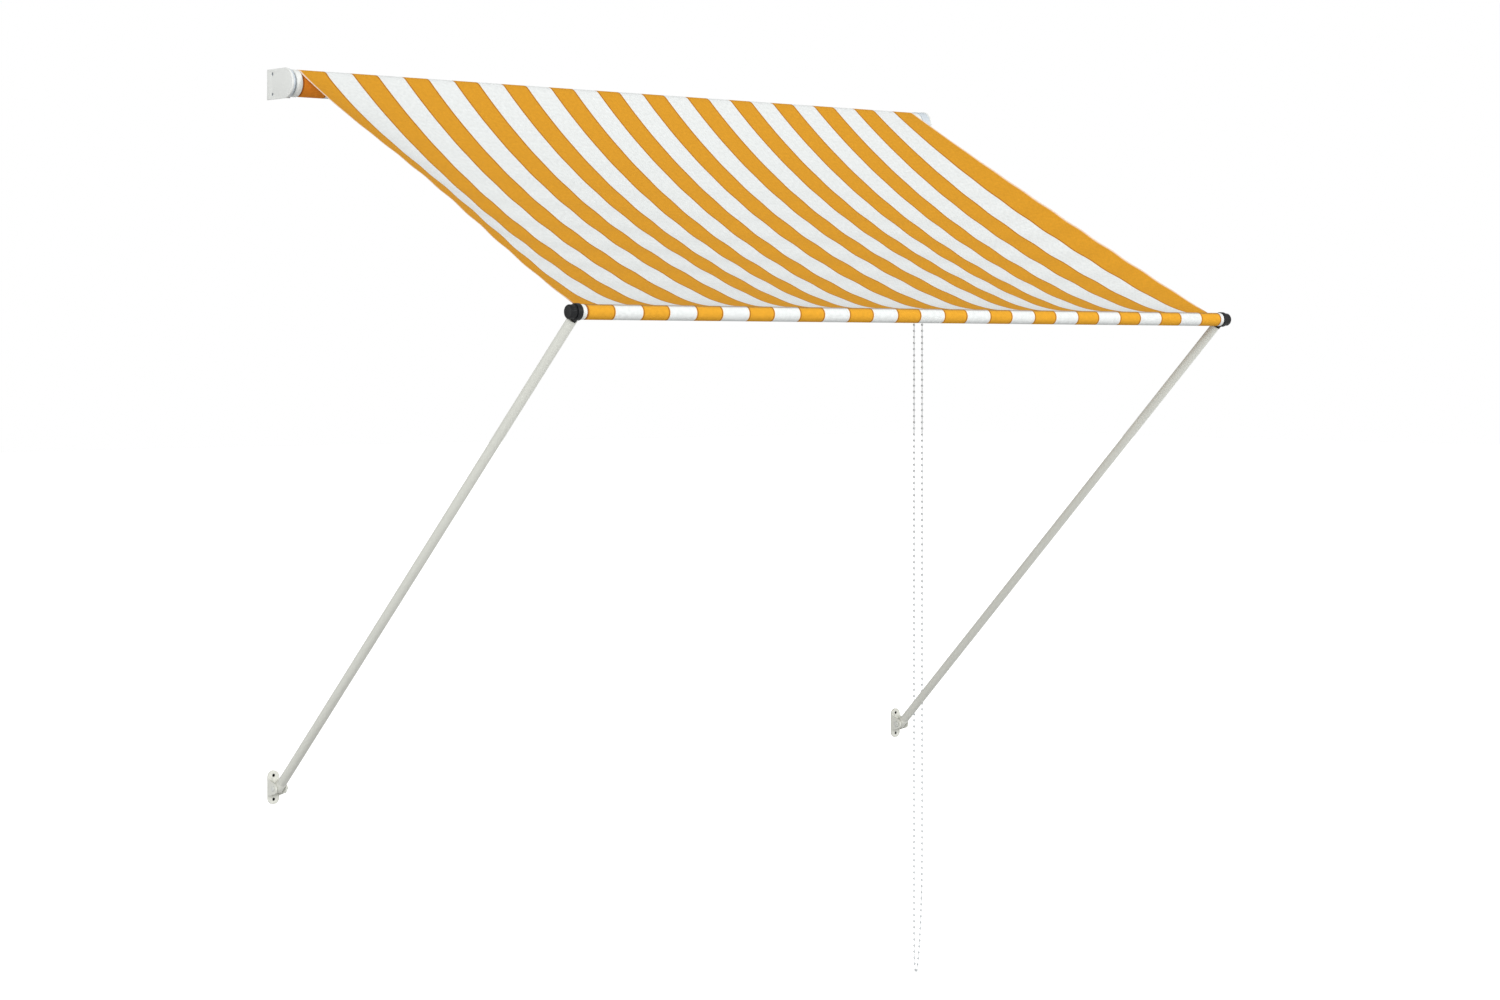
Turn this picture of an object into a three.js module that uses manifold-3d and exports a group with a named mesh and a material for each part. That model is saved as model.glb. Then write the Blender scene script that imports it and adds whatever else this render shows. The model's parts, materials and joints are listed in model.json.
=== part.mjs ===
// A drop-arm window awning: a chain-driven fabric roller on the wall, a striped canopy,
// and a front bar that two arms hold out from lower down the wall.
// Millimetres. X runs along the wall, +Y points into the wall, Z is up.
// The origin lies on the wall plane, midway along the awning, level with the roller's axis.
import * as THREE from "three";
import { mergeVertices } from "three/addons/utils/BufferGeometryUtils.js";
import Module from "manifold-3d";

// Driving dimensions: the cloth
const STRIPE_WIDTH = 52;
const STRIPE_COUNT = 27;
const CLOTH_THICKNESS = 1.6;
const WOUND_LAYER = 2;
const SAG_MIDDLE = 62;
const SAG_EDGE = 6;
const SAG_RISE = 110;
const SAG_RISE_POWER = 0.8;
const HEM_THICKNESS = 0.8;

// Driving dimensions: where the axes lie
const ROLLER_WALL_DISTANCE = 54.5;
const BAR_PROJECTION = 845;
const BAR_DROP = 390;
const PIVOT_WALL_DISTANCE = 18.5;
const PIVOT_DROP = 1179;
const ARM_PLANE_OUTSET = 11.5;

// Driving dimensions: the roller and its ends
const ROLLER_TUBE_DIAMETER = 40;
const ROLLER_TUBE_WALL = 1.5;
const ROLLER_FLANGE_DIAMETER = 46;
const ROLLER_FLANGE_WIDTH = 10.7;
const ROLLER_PLUG_DEPTH = 30;
const AXLE_DIAMETER = 10;
const BUSH_DIAMETER = 40;
const BUSH_WIDTH = 4.8;

// Driving dimensions: the chain drive
const BEAD_DIAMETER = 5;
const BEAD_PITCH = 12;
const SPROCKET_POCKETS = 6;
const SPROCKET_WIDTH = 12;
const SPROCKET_RIM_DIAMETER = 28;
const CHAIN_PLANE_OUTSET = 23.5;
const CLUTCH_BORE_DIAMETER = 16;
const CLUTCH_BORE_DEPTH = 32;
const SPRING_WIRE_DIAMETER = 1.4;
const SPRING_TURNS = 8;
const SPRING_LENGTH = 20;
const SPRING_INSET = 2.4;

// Driving dimensions: the roller brackets
const BRACKET_COVER_RADIUS = 25.5;
const BRACKET_COVER_THICKNESS = 3.5;
const BRACKET_COVER_OVERHANG = 1;
const BRACKET_SHEET = 3;
const BRACKET_FLANGE_WIDTH = 40;
const BRACKET_FLANGE_HEIGHT = 40;
const CHAIN_GUARD_WALL = 2;
const CHAIN_GUARD_DEPTH = 15;
const CHAIN_SLOT_HALF_WIDTH = 17;
const COVER_SCREW_WALL_DISTANCE = 17;
const COVER_SCREW_SPACING = 34;
const COVER_SCREW_DIAMETER = 3;
const COVER_SCREW_HEAD_DIAMETER = 4.8;
const COVER_SCREW_HEAD_HEIGHT = 1.4;
const WALL_HOLE_DIAMETER = 5.5;
const BRACKET_HOLE_SPACING = 26;

// Driving dimensions: the arms and their wall brackets
const ARM_TUBE_DIAMETER = 16;
const ARM_TUBE_WALL = 1.2;
const ARM_SPIGOT_LENGTH = 28;
const FOOT_LENGTH = 14;
const HEAD_RADIUS = 13;
const HEAD_WIDTH = 8.8;
const HEAD_NECK_WIDTH = 18;
const HEAD_NECK_LENGTH = 14.5;
const PLATE_WIDTH = 22.2;
const PLATE_HEIGHT = 57;
const PLATE_THICKNESS = 3;
const PLATE_HOLE_SPACING = 40;
const EAR_THICKNESS = 2.5;
const EAR_NOSE_RADIUS = 9.5;
const EAR_ROOT_HEIGHT = 30;
const PIVOT_BOLT_DIAMETER = 6;
const PIVOT_HEAD_DIAMETER = 10;
const PIVOT_HEAD_HEIGHT = 2.5;
const PIVOT_NUT_WIDTH = 10;
const PIVOT_NUT_HEIGHT = 4;
const PIVOT_TIP_SHOW = 1;

// Driving dimensions: the front bar
const BAR_TUBE_DIAMETER = 21;
const BAR_TUBE_WALL = 1.2;
const BAR_PLUG_DEPTH = 25;
const BAR_COLLAR_WIDTH = 7.7;
const BAR_PIN_DIAMETER = 12;
const KNOB_DIAMETER = 22;
const KNOB_WIDTH = 11;
const KNOB_END_WALL = 2.2;
const KNOB_EDGE = 1.6;

// Clearance that every seat and running fit keeps
const GAP = 0.3;
const ROUND = 24;
const SMALL_ROUND = 12;

// What follows from the driving dimensions
const FABRIC_WIDTH = STRIPE_WIDTH * STRIPE_COUNT;
const WOUND_RADIUS = ROLLER_TUBE_DIAMETER / 2 + GAP + WOUND_LAYER;
const AXLE_RADIUS = AXLE_DIAMETER / 2;
const AXLE_BORE = AXLE_RADIUS + GAP;
const CHAIN_RADIUS = (SPROCKET_POCKETS * BEAD_PITCH) / (2 * Math.PI);
const CHORD_RUN = BAR_PROJECTION - ROLLER_WALL_DISTANCE;
const CHORD_LENGTH = Math.hypot(CHORD_RUN, BAR_DROP);
const CHORD_SLOPE = Math.atan2(BAR_DROP, CHORD_RUN);
const HEM_INNER_RADIUS = BAR_TUBE_DIAMETER / 2 + GAP;
const HEM_RADIUS = HEM_INNER_RADIUS + HEM_THICKNESS;
const HEM_SLOPE = CHORD_SLOPE - Math.atan((4 * SAG_MIDDLE) / CHORD_LENGTH);
const BAR_PIN_RADIUS = BAR_PIN_DIAMETER / 2;
const HEAD_START = BAR_COLLAR_WIDTH + 2 * GAP;
const ARM_RUN = BAR_PROJECTION - PIVOT_WALL_DISTANCE;
const ARM_RISE = PIVOT_DROP - BAR_DROP;
const ARM_LENGTH = Math.hypot(ARM_RUN, ARM_RISE);
const ARM_TILT = Math.atan2(ARM_RUN, ARM_RISE);
const ARM_BORE_RADIUS = ARM_TUBE_DIAMETER / 2 - ARM_TUBE_WALL;
const FOOT_HALF_WIDTH = PLATE_WIDTH / 2 - EAR_THICKNESS - GAP;
const PIVOT_RADIUS = PIVOT_BOLT_DIAMETER / 2;
const FLANGE_END = GAP + ROLLER_FLANGE_WIDTH;
const LEFT_CHEEK = FLANGE_END + GAP + BUSH_WIDTH + GAP;
const SPROCKET_START = CHAIN_PLANE_OUTSET - SPROCKET_WIDTH / 2;
const RIGHT_CHEEK = CHAIN_PLANE_OUTSET + SPROCKET_WIDTH / 2 + GAP;

// The bead chain's hanging loop: distance from the wall and depth below the roller's axis,
// from the sprocket's wall side down to the slack end and up to its room side.
const CHAIN_REAR = ROLLER_WALL_DISTANCE - CHAIN_RADIUS;
const CHAIN_FRONT = ROLLER_WALL_DISTANCE + CHAIN_RADIUS;
const CHAIN_ROUTE = [
  [CHAIN_REAR, 0],
  [CHAIN_REAR, 200],
  [CHAIN_REAR, 500],
  [CHAIN_REAR, 800],
  [CHAIN_REAR, 1100],
  [CHAIN_REAR, 1350],
  [CHAIN_REAR, 1500],
  [43.2, 1580],
  [43.8, 1630],
  [45.4, 1656],
  [48.6, 1668],
  [52.2, 1656],
  [56.0, 1630],
  [60.6, 1580],
  [64.8, 1500],
  [CHAIN_FRONT, 1400],
  [CHAIN_FRONT, 1100],
  [CHAIN_FRONT, 800],
  [CHAIN_FRONT, 500],
  [CHAIN_FRONT, 200],
  [CHAIN_FRONT, 0],
];
const CHAIN_STEPS = 80;
const CHAIN_SIDES = 8;

const wasm = await Module();
wasm.setup();

// Finishes
const finish = (color, roughness, metalness = 0) =>
  new THREE.MeshStandardMaterial({ color, roughness, metalness });
const whitePlastic = () => finish(0xe1e3e0, 0.5);
const greyPlastic = () => finish(0xb9c0c6, 0.5);
const blackPlastic = () => finish(0x26282b, 0.45);
const whiteSteel = () => finish(0xd5d6ce, 0.4, 0.1);
const zincSteel = () => finish(0xa9adb0, 0.35, 0.9);
const springSteel = () => finish(0x6d7074, 0.35, 1);
const stripedCloth = () => finish(0xdfa02e, 0.9);
const shadedCloth = () => finish(0xb8681e, 0.9);

// A drawing in the Y, Z plane stands upright across the awning, and a turned profile lies along X.
const AXIS_X = new THREE.Vector3(1, 0, 0);
const AXIS_Y = new THREE.Vector3(0, 1, 0);
const AXIS_Z = new THREE.Vector3(0, 0, 1);
const UPRIGHT = new THREE.Matrix4().makeBasis(AXIS_Y, AXIS_Z, AXIS_X);
const TURNED = new THREE.Matrix4().makeBasis(AXIS_Z, AXIS_X, AXIS_Y);

function node(name, geometry, material) {
  const mesh = new THREE.Mesh(geometry, material);
  mesh.name = name;
  return mesh;
}

// A full circle is drawn with twice the curve segments asked for.
function plate(shape, from, to, sides = ROUND) {
  const options = { depth: to - from, bevelEnabled: false, curveSegments: sides / 2 };
  const geometry = new THREE.ExtrudeGeometry(shape, options);
  return geometry.applyMatrix4(UPRIGHT).translate(from, 0, 0);
}

function turned(profile, sides = ROUND) {
  const points = profile.map(([along, radius]) => new THREE.Vector2(radius, along));
  return new THREE.LatheGeometry(points, sides).applyMatrix4(TURNED);
}

function disc(radius, y = 0, z = 0) {
  return new THREE.Shape().absarc(y, z, radius, 0, 2 * Math.PI);
}

function ring(outer, inner) {
  const shape = disc(outer);
  shape.holes.push(disc(inner));
  return shape;
}

function rod(radius, from, to, y = 0, z = 0, sides = SMALL_ROUND) {
  return plate(disc(radius, y, z), from, to, sides);
}

function block(low, high) {
  const size = high.map((value, axis) => value - low[axis]);
  const centre = high.map((value, axis) => (value + low[axis]) / 2);
  return new THREE.BoxGeometry(...size).translate(...centre);
}

function wallHole(radius, x, z, depth) {
  const drill = new THREE.CylinderGeometry(radius, radius, 4 * depth, SMALL_ROUND);
  return drill.translate(x, 0, z);
}

function solidOf(geometry) {
  const bare = new THREE.BufferGeometry();
  bare.setAttribute("position", geometry.getAttribute("position"));
  bare.setIndex(geometry.index);
  const merged = mergeVertices(bare, 1e-4);
  const vertProperties = new Float32Array(merged.attributes.position.array);
  const triVerts = new Uint32Array(merged.index.array);
  return new wasm.Manifold(new wasm.Mesh({ numProp: 3, vertProperties, triVerts }));
}

function geometryOf(solid) {
  const { vertProperties, triVerts } = solid.getMesh();
  const geometry = new THREE.BufferGeometry();
  geometry.setAttribute("position", new THREE.BufferAttribute(vertProperties, 3));
  geometry.setIndex(new THREE.BufferAttribute(triVerts, 1));
  geometry.computeVertexNormals();
  return geometry;
}

function joined(...pieces) {
  return geometryOf(pieces.map(solidOf).reduce((whole, piece) => whole.add(piece)));
}

function cut(piece, ...tools) {
  const whole = solidOf(piece);
  return geometryOf(tools.map(solidOf).reduce((rest, tool) => rest.subtract(tool), whole));
}

// One end of the awning: local X runs outwards from the edge of the cloth.
function endGroup(side) {
  const group = new THREE.Group();
  group.position.x = (side * FABRIC_WIDTH) / 2;
  group.scale.x = side;
  return group;
}

// How deep the canopy's belly hangs at a place across its width, from 0 to 1.
function sagAcross(u) {
  const inset = Math.min(u, 1 - u) * FABRIC_WIDTH;
  const share = 1 - Math.exp(-Math.pow(inset / SAG_RISE, SAG_RISE_POWER));
  return SAG_EDGE + (SAG_MIDDLE - SAG_EDGE) * share;
}

// A point of the cloth: u across, v from the roller to the hem, lift through its thickness.
function canopyPoint(u, v, lift) {
  const sag = sagAcross(u);
  const leave = CHORD_SLOPE + Math.atan((4 * sag) / CHORD_LENGTH);
  const radius = WOUND_RADIUS + GAP + CLOTH_THICKNESS / 2;
  const reach = HEM_RADIUS + GAP;
  const startY = -ROLLER_WALL_DISTANCE - radius * Math.sin(leave);
  const startZ = radius * Math.cos(leave);
  const endY = -BAR_PROJECTION + reach * Math.cos(HEM_SLOPE);
  const endZ = -BAR_DROP + reach * Math.sin(HEM_SLOPE);
  const length = Math.hypot(endY - startY, endZ - startZ);
  const depth = lift - 4 * v * (1 - v) * sag;
  const y = startY + v * (endY - startY) + (depth * (endZ - startZ)) / length;
  const z = startZ + v * (endZ - startZ) - (depth * (endY - startY)) / length;
  return [(u - 0.5) * FABRIC_WIDTH, y, z];
}

function canopy() {
  const cellsAcross = 27;
  const cellsAlong = 10;
  const slab = new THREE.BoxGeometry(1, 1, 1, cellsAcross, cellsAlong, 1);
  const position = slab.getAttribute("position");
  for (let i = 0; i < position.count; i += 1) {
    const u = 0.5 + position.getX(i);
    const v = 0.5 - position.getY(i);
    position.setXYZ(i, ...canopyPoint(u, v, position.getZ(i) * CLOTH_THICKNESS));
  }
  slab.computeVertexNormals();
  return node("canopy", slab, stripedCloth());
}

// The roller: tube, wound cloth and the two end plugs that it turns on.
function roller() {
  const group = new THREE.Group();
  group.position.y = -ROLLER_WALL_DISTANCE;
  const half = FABRIC_WIDTH / 2;
  const tubeRadius = ROLLER_TUBE_DIAMETER / 2;
  const tube = plate(ring(tubeRadius, tubeRadius - ROLLER_TUBE_WALL), -half, half);
  const wound = plate(ring(WOUND_RADIUS, tubeRadius + GAP), -half, half);
  group.add(node("roller_tube", tube, zincSteel()));
  group.add(node("wound_fabric", wound, shadedCloth()));

  const spigot = tubeRadius - ROLLER_TUBE_WALL - GAP;
  const flange = ROLLER_FLANGE_DIAMETER / 2;
  const idler = turned([
    [-ROLLER_PLUG_DEPTH, AXLE_BORE],
    [-ROLLER_PLUG_DEPTH, spigot],
    [GAP, spigot],
    [GAP, flange],
    [FLANGE_END, flange],
    [FLANGE_END, AXLE_BORE],
    [-ROLLER_PLUG_DEPTH, AXLE_BORE],
  ]);
  const left = endGroup(-1);
  left.add(node("idler_plug", idler, whitePlastic()));

  const clutchBore = CLUTCH_BORE_DIAMETER / 2;
  const boreEnd = CLUTCH_BORE_DEPTH - ROLLER_PLUG_DEPTH;
  const hub = SPROCKET_START - GAP;
  const drive = turned([
    [-ROLLER_PLUG_DEPTH, clutchBore],
    [-ROLLER_PLUG_DEPTH, spigot],
    [GAP, spigot],
    [GAP, flange],
    [FLANGE_END, flange],
    [FLANGE_END, clutchBore],
    [hub, clutchBore],
    [hub, AXLE_BORE],
    [boreEnd, AXLE_BORE],
    [boreEnd, clutchBore],
    [-ROLLER_PLUG_DEPTH, clutchBore],
  ]);
  const right = endGroup(1);
  right.add(node("drive_plug", drive, whitePlastic()));
  right.add(node("chain_sprocket", sprocket(), whitePlastic()));
  group.add(left, right);
  return group;
}

// A grooved wheel whose two rims are notched for the beads.
function sprocket() {
  const rim = SPROCKET_RIM_DIAMETER / 2;
  const end = SPROCKET_START + SPROCKET_WIDTH;
  const floor = CHAIN_RADIUS - BEAD_DIAMETER / 2 - GAP;
  const grooveHalf = BEAD_DIAMETER / 2 + GAP;
  const wheel = turned([
    [SPROCKET_START, AXLE_BORE],
    [SPROCKET_START, rim],
    [CHAIN_PLANE_OUTSET - grooveHalf, rim],
    [CHAIN_PLANE_OUTSET - grooveHalf, floor],
    [CHAIN_PLANE_OUTSET + grooveHalf, floor],
    [CHAIN_PLANE_OUTSET + grooveHalf, rim],
    [end, rim],
    [end, AXLE_BORE],
    [SPROCKET_START, AXLE_BORE],
  ]);
  const notches = [];
  for (let i = 0; i < SPROCKET_POCKETS; i += 1) {
    const angle = ((i + 0.5) * 2 * Math.PI) / SPROCKET_POCKETS;
    const y = rim * Math.cos(angle);
    const z = rim * Math.sin(angle);
    notches.push(rod(BEAD_DIAMETER / 2, SPROCKET_START - GAP, end + GAP, y, z, 10));
  }
  return cut(wheel, ...notches);
}

// The wall-to-nose outline of a roller bracket, round about the roller's axis.
function bracketOutline(radius, wallSide = 0) {
  const shape = new THREE.Shape();
  shape.moveTo(-wallSide, radius);
  shape.lineTo(-ROLLER_WALL_DISTANCE, radius);
  shape.absarc(-ROLLER_WALL_DISTANCE, 0, radius, Math.PI / 2, 1.5 * Math.PI);
  shape.lineTo(-wallSide, -radius);
  shape.closePath();
  return shape;
}

// A roller bracket: a folded sheet with a cheek and a wall flange behind the roller.
function bracketSheet(cheek) {
  const radius = BRACKET_COVER_RADIUS - BRACKET_COVER_OVERHANG;
  const outer = cheek + BRACKET_SHEET;
  const halfHeight = BRACKET_FLANGE_HEIGHT / 2;
  const low = [outer - BRACKET_FLANGE_WIDTH, -BRACKET_SHEET, -halfHeight];
  const flange = block(low, [outer, 0, halfHeight]);
  return joined(plate(bracketOutline(radius), cheek, outer), flange);
}

function bracketDrills(cheek) {
  const x = cheek + BRACKET_SHEET - BRACKET_FLANGE_WIDTH / 2;
  const halfSpacing = BRACKET_HOLE_SPACING / 2;
  const drills = [-halfSpacing, halfSpacing].map((z) =>
    wallHole(WALL_HOLE_DIAMETER / 2, x, z, BRACKET_SHEET),
  );
  const reach = BRACKET_SHEET + GAP;
  drills.push(rod(AXLE_BORE, cheek - GAP, cheek + reach, -ROLLER_WALL_DISTANCE, 0, ROUND));
  for (const z of [-COVER_SCREW_SPACING / 2, COVER_SCREW_SPACING / 2]) {
    const radius = COVER_SCREW_DIAMETER / 2 + GAP;
    drills.push(rod(radius, cheek - GAP, cheek + reach, -COVER_SCREW_WALL_DISTANCE, z));
  }
  return drills;
}

// The moulded cover over a cheek, with its two screws.
function bracketCover(group, prefix, cheek) {
  const inner = cheek + BRACKET_SHEET + GAP;
  const outer = inner + BRACKET_COVER_THICKNESS;
  const shank = COVER_SCREW_DIAMETER / 2;
  const head = COVER_SCREW_HEAD_DIAMETER / 2;
  const seat = outer - COVER_SCREW_HEAD_HEIGHT;
  const y = -COVER_SCREW_WALL_DISTANCE;
  const tools = [];
  const places = { lower: -COVER_SCREW_SPACING / 2, upper: COVER_SCREW_SPACING / 2 };
  for (const [place, z] of Object.entries(places)) {
    tools.push(rod(shank + GAP, inner - GAP, outer, y, z));
    tools.push(rod(head + GAP, seat - GAP, outer + GAP, y, z));
    const screw = turned(
      [
        [cheek, 0],
        [cheek, shank],
        [seat, shank],
        [seat, head],
        [outer, head],
        [outer, 0],
      ],
      SMALL_ROUND,
    );
    const name = `${prefix}_cover_screw_${place}`;
    group.add(node(name, screw.translate(0, y, z), zincSteel()));
  }
  const cover = cut(plate(bracketOutline(BRACKET_COVER_RADIUS), inner, outer), ...tools);
  group.add(node(`${prefix}_bracket_cover`, cover, whitePlastic()));
}

function leftRollerEnd() {
  const group = endGroup(-1);
  const y = -ROLLER_WALL_DISTANCE;
  const bracket = cut(bracketSheet(LEFT_CHEEK), ...bracketDrills(LEFT_CHEEK));
  const bushStart = FLANGE_END + GAP;
  const bush = plate(ring(BUSH_DIAMETER / 2, AXLE_BORE), bushStart, bushStart + BUSH_WIDTH);
  const axle = rod(AXLE_RADIUS, GAP - ROLLER_PLUG_DEPTH, LEFT_CHEEK + BRACKET_SHEET, y, 0, ROUND);
  group.add(node("left_roller_bracket", bracket, whiteSteel()));
  group.add(node("axle_bush", bush.translate(0, y, 0), greyPlastic()));
  group.add(node("axle_pin", axle, zincSteel()));
  bracketCover(group, "left", LEFT_CHEEK);
  return group;
}

// The drive end's bracket also has a guard round the sprocket, open below for the chain.
function rightRollerEnd() {
  const group = endGroup(1);
  const y = -ROLLER_WALL_DISTANCE;
  const radius = BRACKET_COVER_RADIUS - BRACKET_COVER_OVERHANG;
  const guardOutline = bracketOutline(radius);
  guardOutline.holes.push(bracketOutline(radius - CHAIN_GUARD_WALL, BRACKET_SHEET - GAP));
  const guardStart = RIGHT_CHEEK - CHAIN_GUARD_DEPTH;
  const guard = plate(guardOutline, guardStart, RIGHT_CHEEK + GAP);
  const slot = block(
    [guardStart - GAP, y - CHAIN_SLOT_HALF_WIDTH, -2 * radius],
    [RIGHT_CHEEK, y + CHAIN_SLOT_HALF_WIDTH, -radius / 2],
  );
  const body = joined(bracketSheet(RIGHT_CHEEK), guard);
  const bracket = cut(body, slot, ...bracketDrills(RIGHT_CHEEK));
  const postStart = GAP - ROLLER_PLUG_DEPTH;
  const post = rod(AXLE_RADIUS, postStart, RIGHT_CHEEK + BRACKET_SHEET, y, 0, ROUND);
  group.add(node("right_roller_bracket", bracket, whiteSteel()));
  group.add(node("clutch_post", post, zincSteel()));
  group.add(node("clutch_spring", clutchSpring(), springSteel()));
  bracketCover(group, "right", RIGHT_CHEEK);
  return group;
}

// The wrap spring that grips the fixed post and holds the roller where the chain leaves it.
class Helix extends THREE.Curve {
  getPoint(t, target = new THREE.Vector3()) {
    const radius = AXLE_RADIUS + GAP + SPRING_WIRE_DIAMETER / 2;
    const angle = t * SPRING_TURNS * 2 * Math.PI;
    const start = SPRING_INSET - ROLLER_PLUG_DEPTH;
    return target.set(start + t * SPRING_LENGTH, radius * Math.cos(angle), radius * Math.sin(angle));
  }
}

function clutchSpring() {
  const stepsPerTurn = 10;
  const options = { extrudePath: new Helix(), steps: SPRING_TURNS * stepsPerTurn, curveSegments: 3 };
  const wire = new THREE.ExtrudeGeometry(disc(SPRING_WIRE_DIAMETER / 2), options);
  return wire.translate(0, -ROLLER_WALL_DISTANCE, 0);
}

function beadChain() {
  const x = FABRIC_WIDTH / 2 + CHAIN_PLANE_OUTSET;
  const points = CHAIN_ROUTE.map(([out, down]) => new THREE.Vector3(x, -out, -down));
  const extrudePath = new THREE.CatmullRomCurve3(points);
  const options = { extrudePath, steps: CHAIN_STEPS, curveSegments: CHAIN_SIDES / 2 };
  const tube = new THREE.ExtrudeGeometry(disc(BEAD_DIAMETER / 2), options);
  return node("bead_chain", tube, whitePlastic());
}

// A wall bracket for an arm: a round-ended plate with two ears.
function armBracket() {
  const halfWidth = PLATE_WIDTH / 2;
  const straight = PLATE_HEIGHT / 2 - halfWidth;
  const outline = new THREE.Shape();
  outline.absarc(0, straight, halfWidth, 0, Math.PI);
  outline.absarc(0, -straight, halfWidth, Math.PI, 2 * Math.PI);
  outline.closePath();
  const options = { depth: PLATE_THICKNESS, bevelEnabled: false, curveSegments: SMALL_ROUND / 2 };
  const back = new THREE.ExtrudeGeometry(outline, options).rotateX(Math.PI / 2);
  const ear = new THREE.Shape();
  const root = EAR_ROOT_HEIGHT / 2;
  const rootY = -PLATE_THICKNESS / 2;
  const run = PIVOT_WALL_DISTANCE + rootY;
  const lean = Math.asin((root - EAR_NOSE_RADIUS) / Math.hypot(run, root));
  ear.moveTo(rootY, root);
  ear.absarc(-PIVOT_WALL_DISTANCE, 0, EAR_NOSE_RADIUS, Math.PI / 2 - lean, 1.5 * Math.PI + lean);
  ear.lineTo(rootY, -root);
  ear.closePath();
  const inner = halfWidth - EAR_THICKNESS;
  const ears = [plate(ear, inner, halfWidth), plate(ear, -halfWidth, -inner)];
  const drills = [-PLATE_HOLE_SPACING / 2, PLATE_HOLE_SPACING / 2].map((z) =>
    wallHole(WALL_HOLE_DIAMETER / 2, 0, z, PLATE_THICKNESS),
  );
  const bolt = rod(PIVOT_RADIUS + GAP, -PLATE_WIDTH, PLATE_WIDTH, -PIVOT_WALL_DISTANCE, 0);
  return cut(joined(back, ...ears), bolt, ...drills);
}

// The bolt an arm swings on, and its nut on the inner ear.
function pivotBolt(group, prefix) {
  const face = PLATE_WIDTH / 2 + GAP;
  const head = PIVOT_HEAD_DIAMETER / 2;
  const tip = -face - PIVOT_NUT_HEIGHT - PIVOT_TIP_SHOW;
  const bolt = turned(
    [
      [tip, 0],
      [tip, PIVOT_RADIUS],
      [face, PIVOT_RADIUS],
      [face, head],
      [face + PIVOT_HEAD_HEIGHT, head],
      [face + PIVOT_HEAD_HEIGHT, 0],
    ],
    SMALL_ROUND,
  );
  const corner = PIVOT_NUT_WIDTH / Math.sqrt(3);
  const blank = plate(disc(corner), -face - PIVOT_NUT_HEIGHT, -face, 6);
  const nut = cut(blank, rod(PIVOT_RADIUS + GAP, 2 * tip, 0));
  const y = -PIVOT_WALL_DISTANCE;
  group.add(node(`${prefix}_pivot_bolt`, bolt.translate(0, y, 0), zincSteel()));
  group.add(node(`${prefix}_pivot_nut`, nut.translate(0, y, 0), zincSteel()));
}

function armMount(side, prefix) {
  const group = new THREE.Group();
  group.position.set(ARM_PLANE_OUTSET, 0, -PIVOT_DROP);
  group.add(node(`${prefix}_arm_bracket`, armBracket(), whiteSteel()));
  pivotBolt(group, prefix);
  const end = endGroup(side);
  end.add(group);
  return end;
}

// A spigot that plugs an arm tube, along local Z.
function armSpigot(from, to) {
  const options = { depth: to - from, bevelEnabled: false, curveSegments: SMALL_ROUND / 2 };
  const spigot = new THREE.ExtrudeGeometry(disc(ARM_BORE_RADIUS - GAP), options);
  return spigot.translate(0, 0, from);
}

// The lower fitting, which swings between the ears.
function armFoot() {
  const radius = ARM_TUBE_DIAMETER / 2;
  const shape = new THREE.Shape();
  shape.moveTo(radius, FOOT_LENGTH);
  shape.lineTo(-radius, FOOT_LENGTH);
  shape.absarc(0, 0, radius, Math.PI, 2 * Math.PI);
  shape.closePath();
  const eye = plate(shape, -FOOT_HALF_WIDTH, FOOT_HALF_WIDTH, SMALL_ROUND);
  const spigot = armSpigot(FOOT_LENGTH - GAP, FOOT_LENGTH + ARM_SPIGOT_LENGTH);
  return cut(joined(eye, spigot), rod(PIVOT_RADIUS + GAP, -PLATE_WIDTH, PLATE_WIDTH));
}

// The upper fitting, an eye on a short neck that turns on the bar's pin.
function armHead() {
  const half = HEAD_NECK_WIDTH / 2;
  const inner = HEAD_START - ARM_PLANE_OUTSET;
  const outer = inner + HEAD_WIDTH;
  const end = ARM_LENGTH - HEAD_NECK_LENGTH;
  const neck = block([inner, -half, end], [outer, half, ARM_LENGTH]);
  const eye = plate(disc(HEAD_RADIUS, 0, ARM_LENGTH), inner, outer);
  const spigot = armSpigot(end - ARM_SPIGOT_LENGTH, end + GAP);
  const bore = rod(BAR_PIN_RADIUS + GAP, inner - GAP, outer + GAP, 0, ARM_LENGTH, ROUND);
  return cut(joined(eye, neck, spigot), bore);
}

function arm(side, prefix) {
  const group = new THREE.Group();
  group.position.set(ARM_PLANE_OUTSET, -PIVOT_WALL_DISTANCE, -PIVOT_DROP);
  group.rotation.x = ARM_TILT;
  const from = FOOT_LENGTH + GAP;
  const length = ARM_LENGTH - HEAD_NECK_LENGTH - GAP - from;
  const section = ring(ARM_TUBE_DIAMETER / 2, ARM_BORE_RADIUS);
  const options = { depth: length, bevelEnabled: false, curveSegments: ROUND / 2 };
  const tube = new THREE.ExtrudeGeometry(section, options).translate(0, 0, from);
  group.add(node(`${prefix}_arm_tube`, tube, whiteSteel()));
  group.add(node(`${prefix}_arm_foot`, armFoot(), whitePlastic()));
  group.add(node(`${prefix}_arm_head`, armHead(), blackPlastic()));
  const end = endGroup(side);
  end.add(group);
  return end;
}

function barPlug() {
  const radius = BAR_TUBE_DIAMETER / 2;
  const spigot = radius - BAR_TUBE_WALL - GAP;
  const collarEnd = GAP + BAR_COLLAR_WIDTH;
  const pinEnd = knobStart() + KNOB_WIDTH - KNOB_END_WALL - GAP;
  return turned([
    [-BAR_PLUG_DEPTH, 0],
    [-BAR_PLUG_DEPTH, spigot],
    [GAP, spigot],
    [GAP, HEM_RADIUS],
    [collarEnd, HEM_RADIUS],
    [collarEnd, BAR_PIN_RADIUS],
    [pinEnd, BAR_PIN_RADIUS],
    [pinEnd, 0],
  ]);
}

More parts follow.
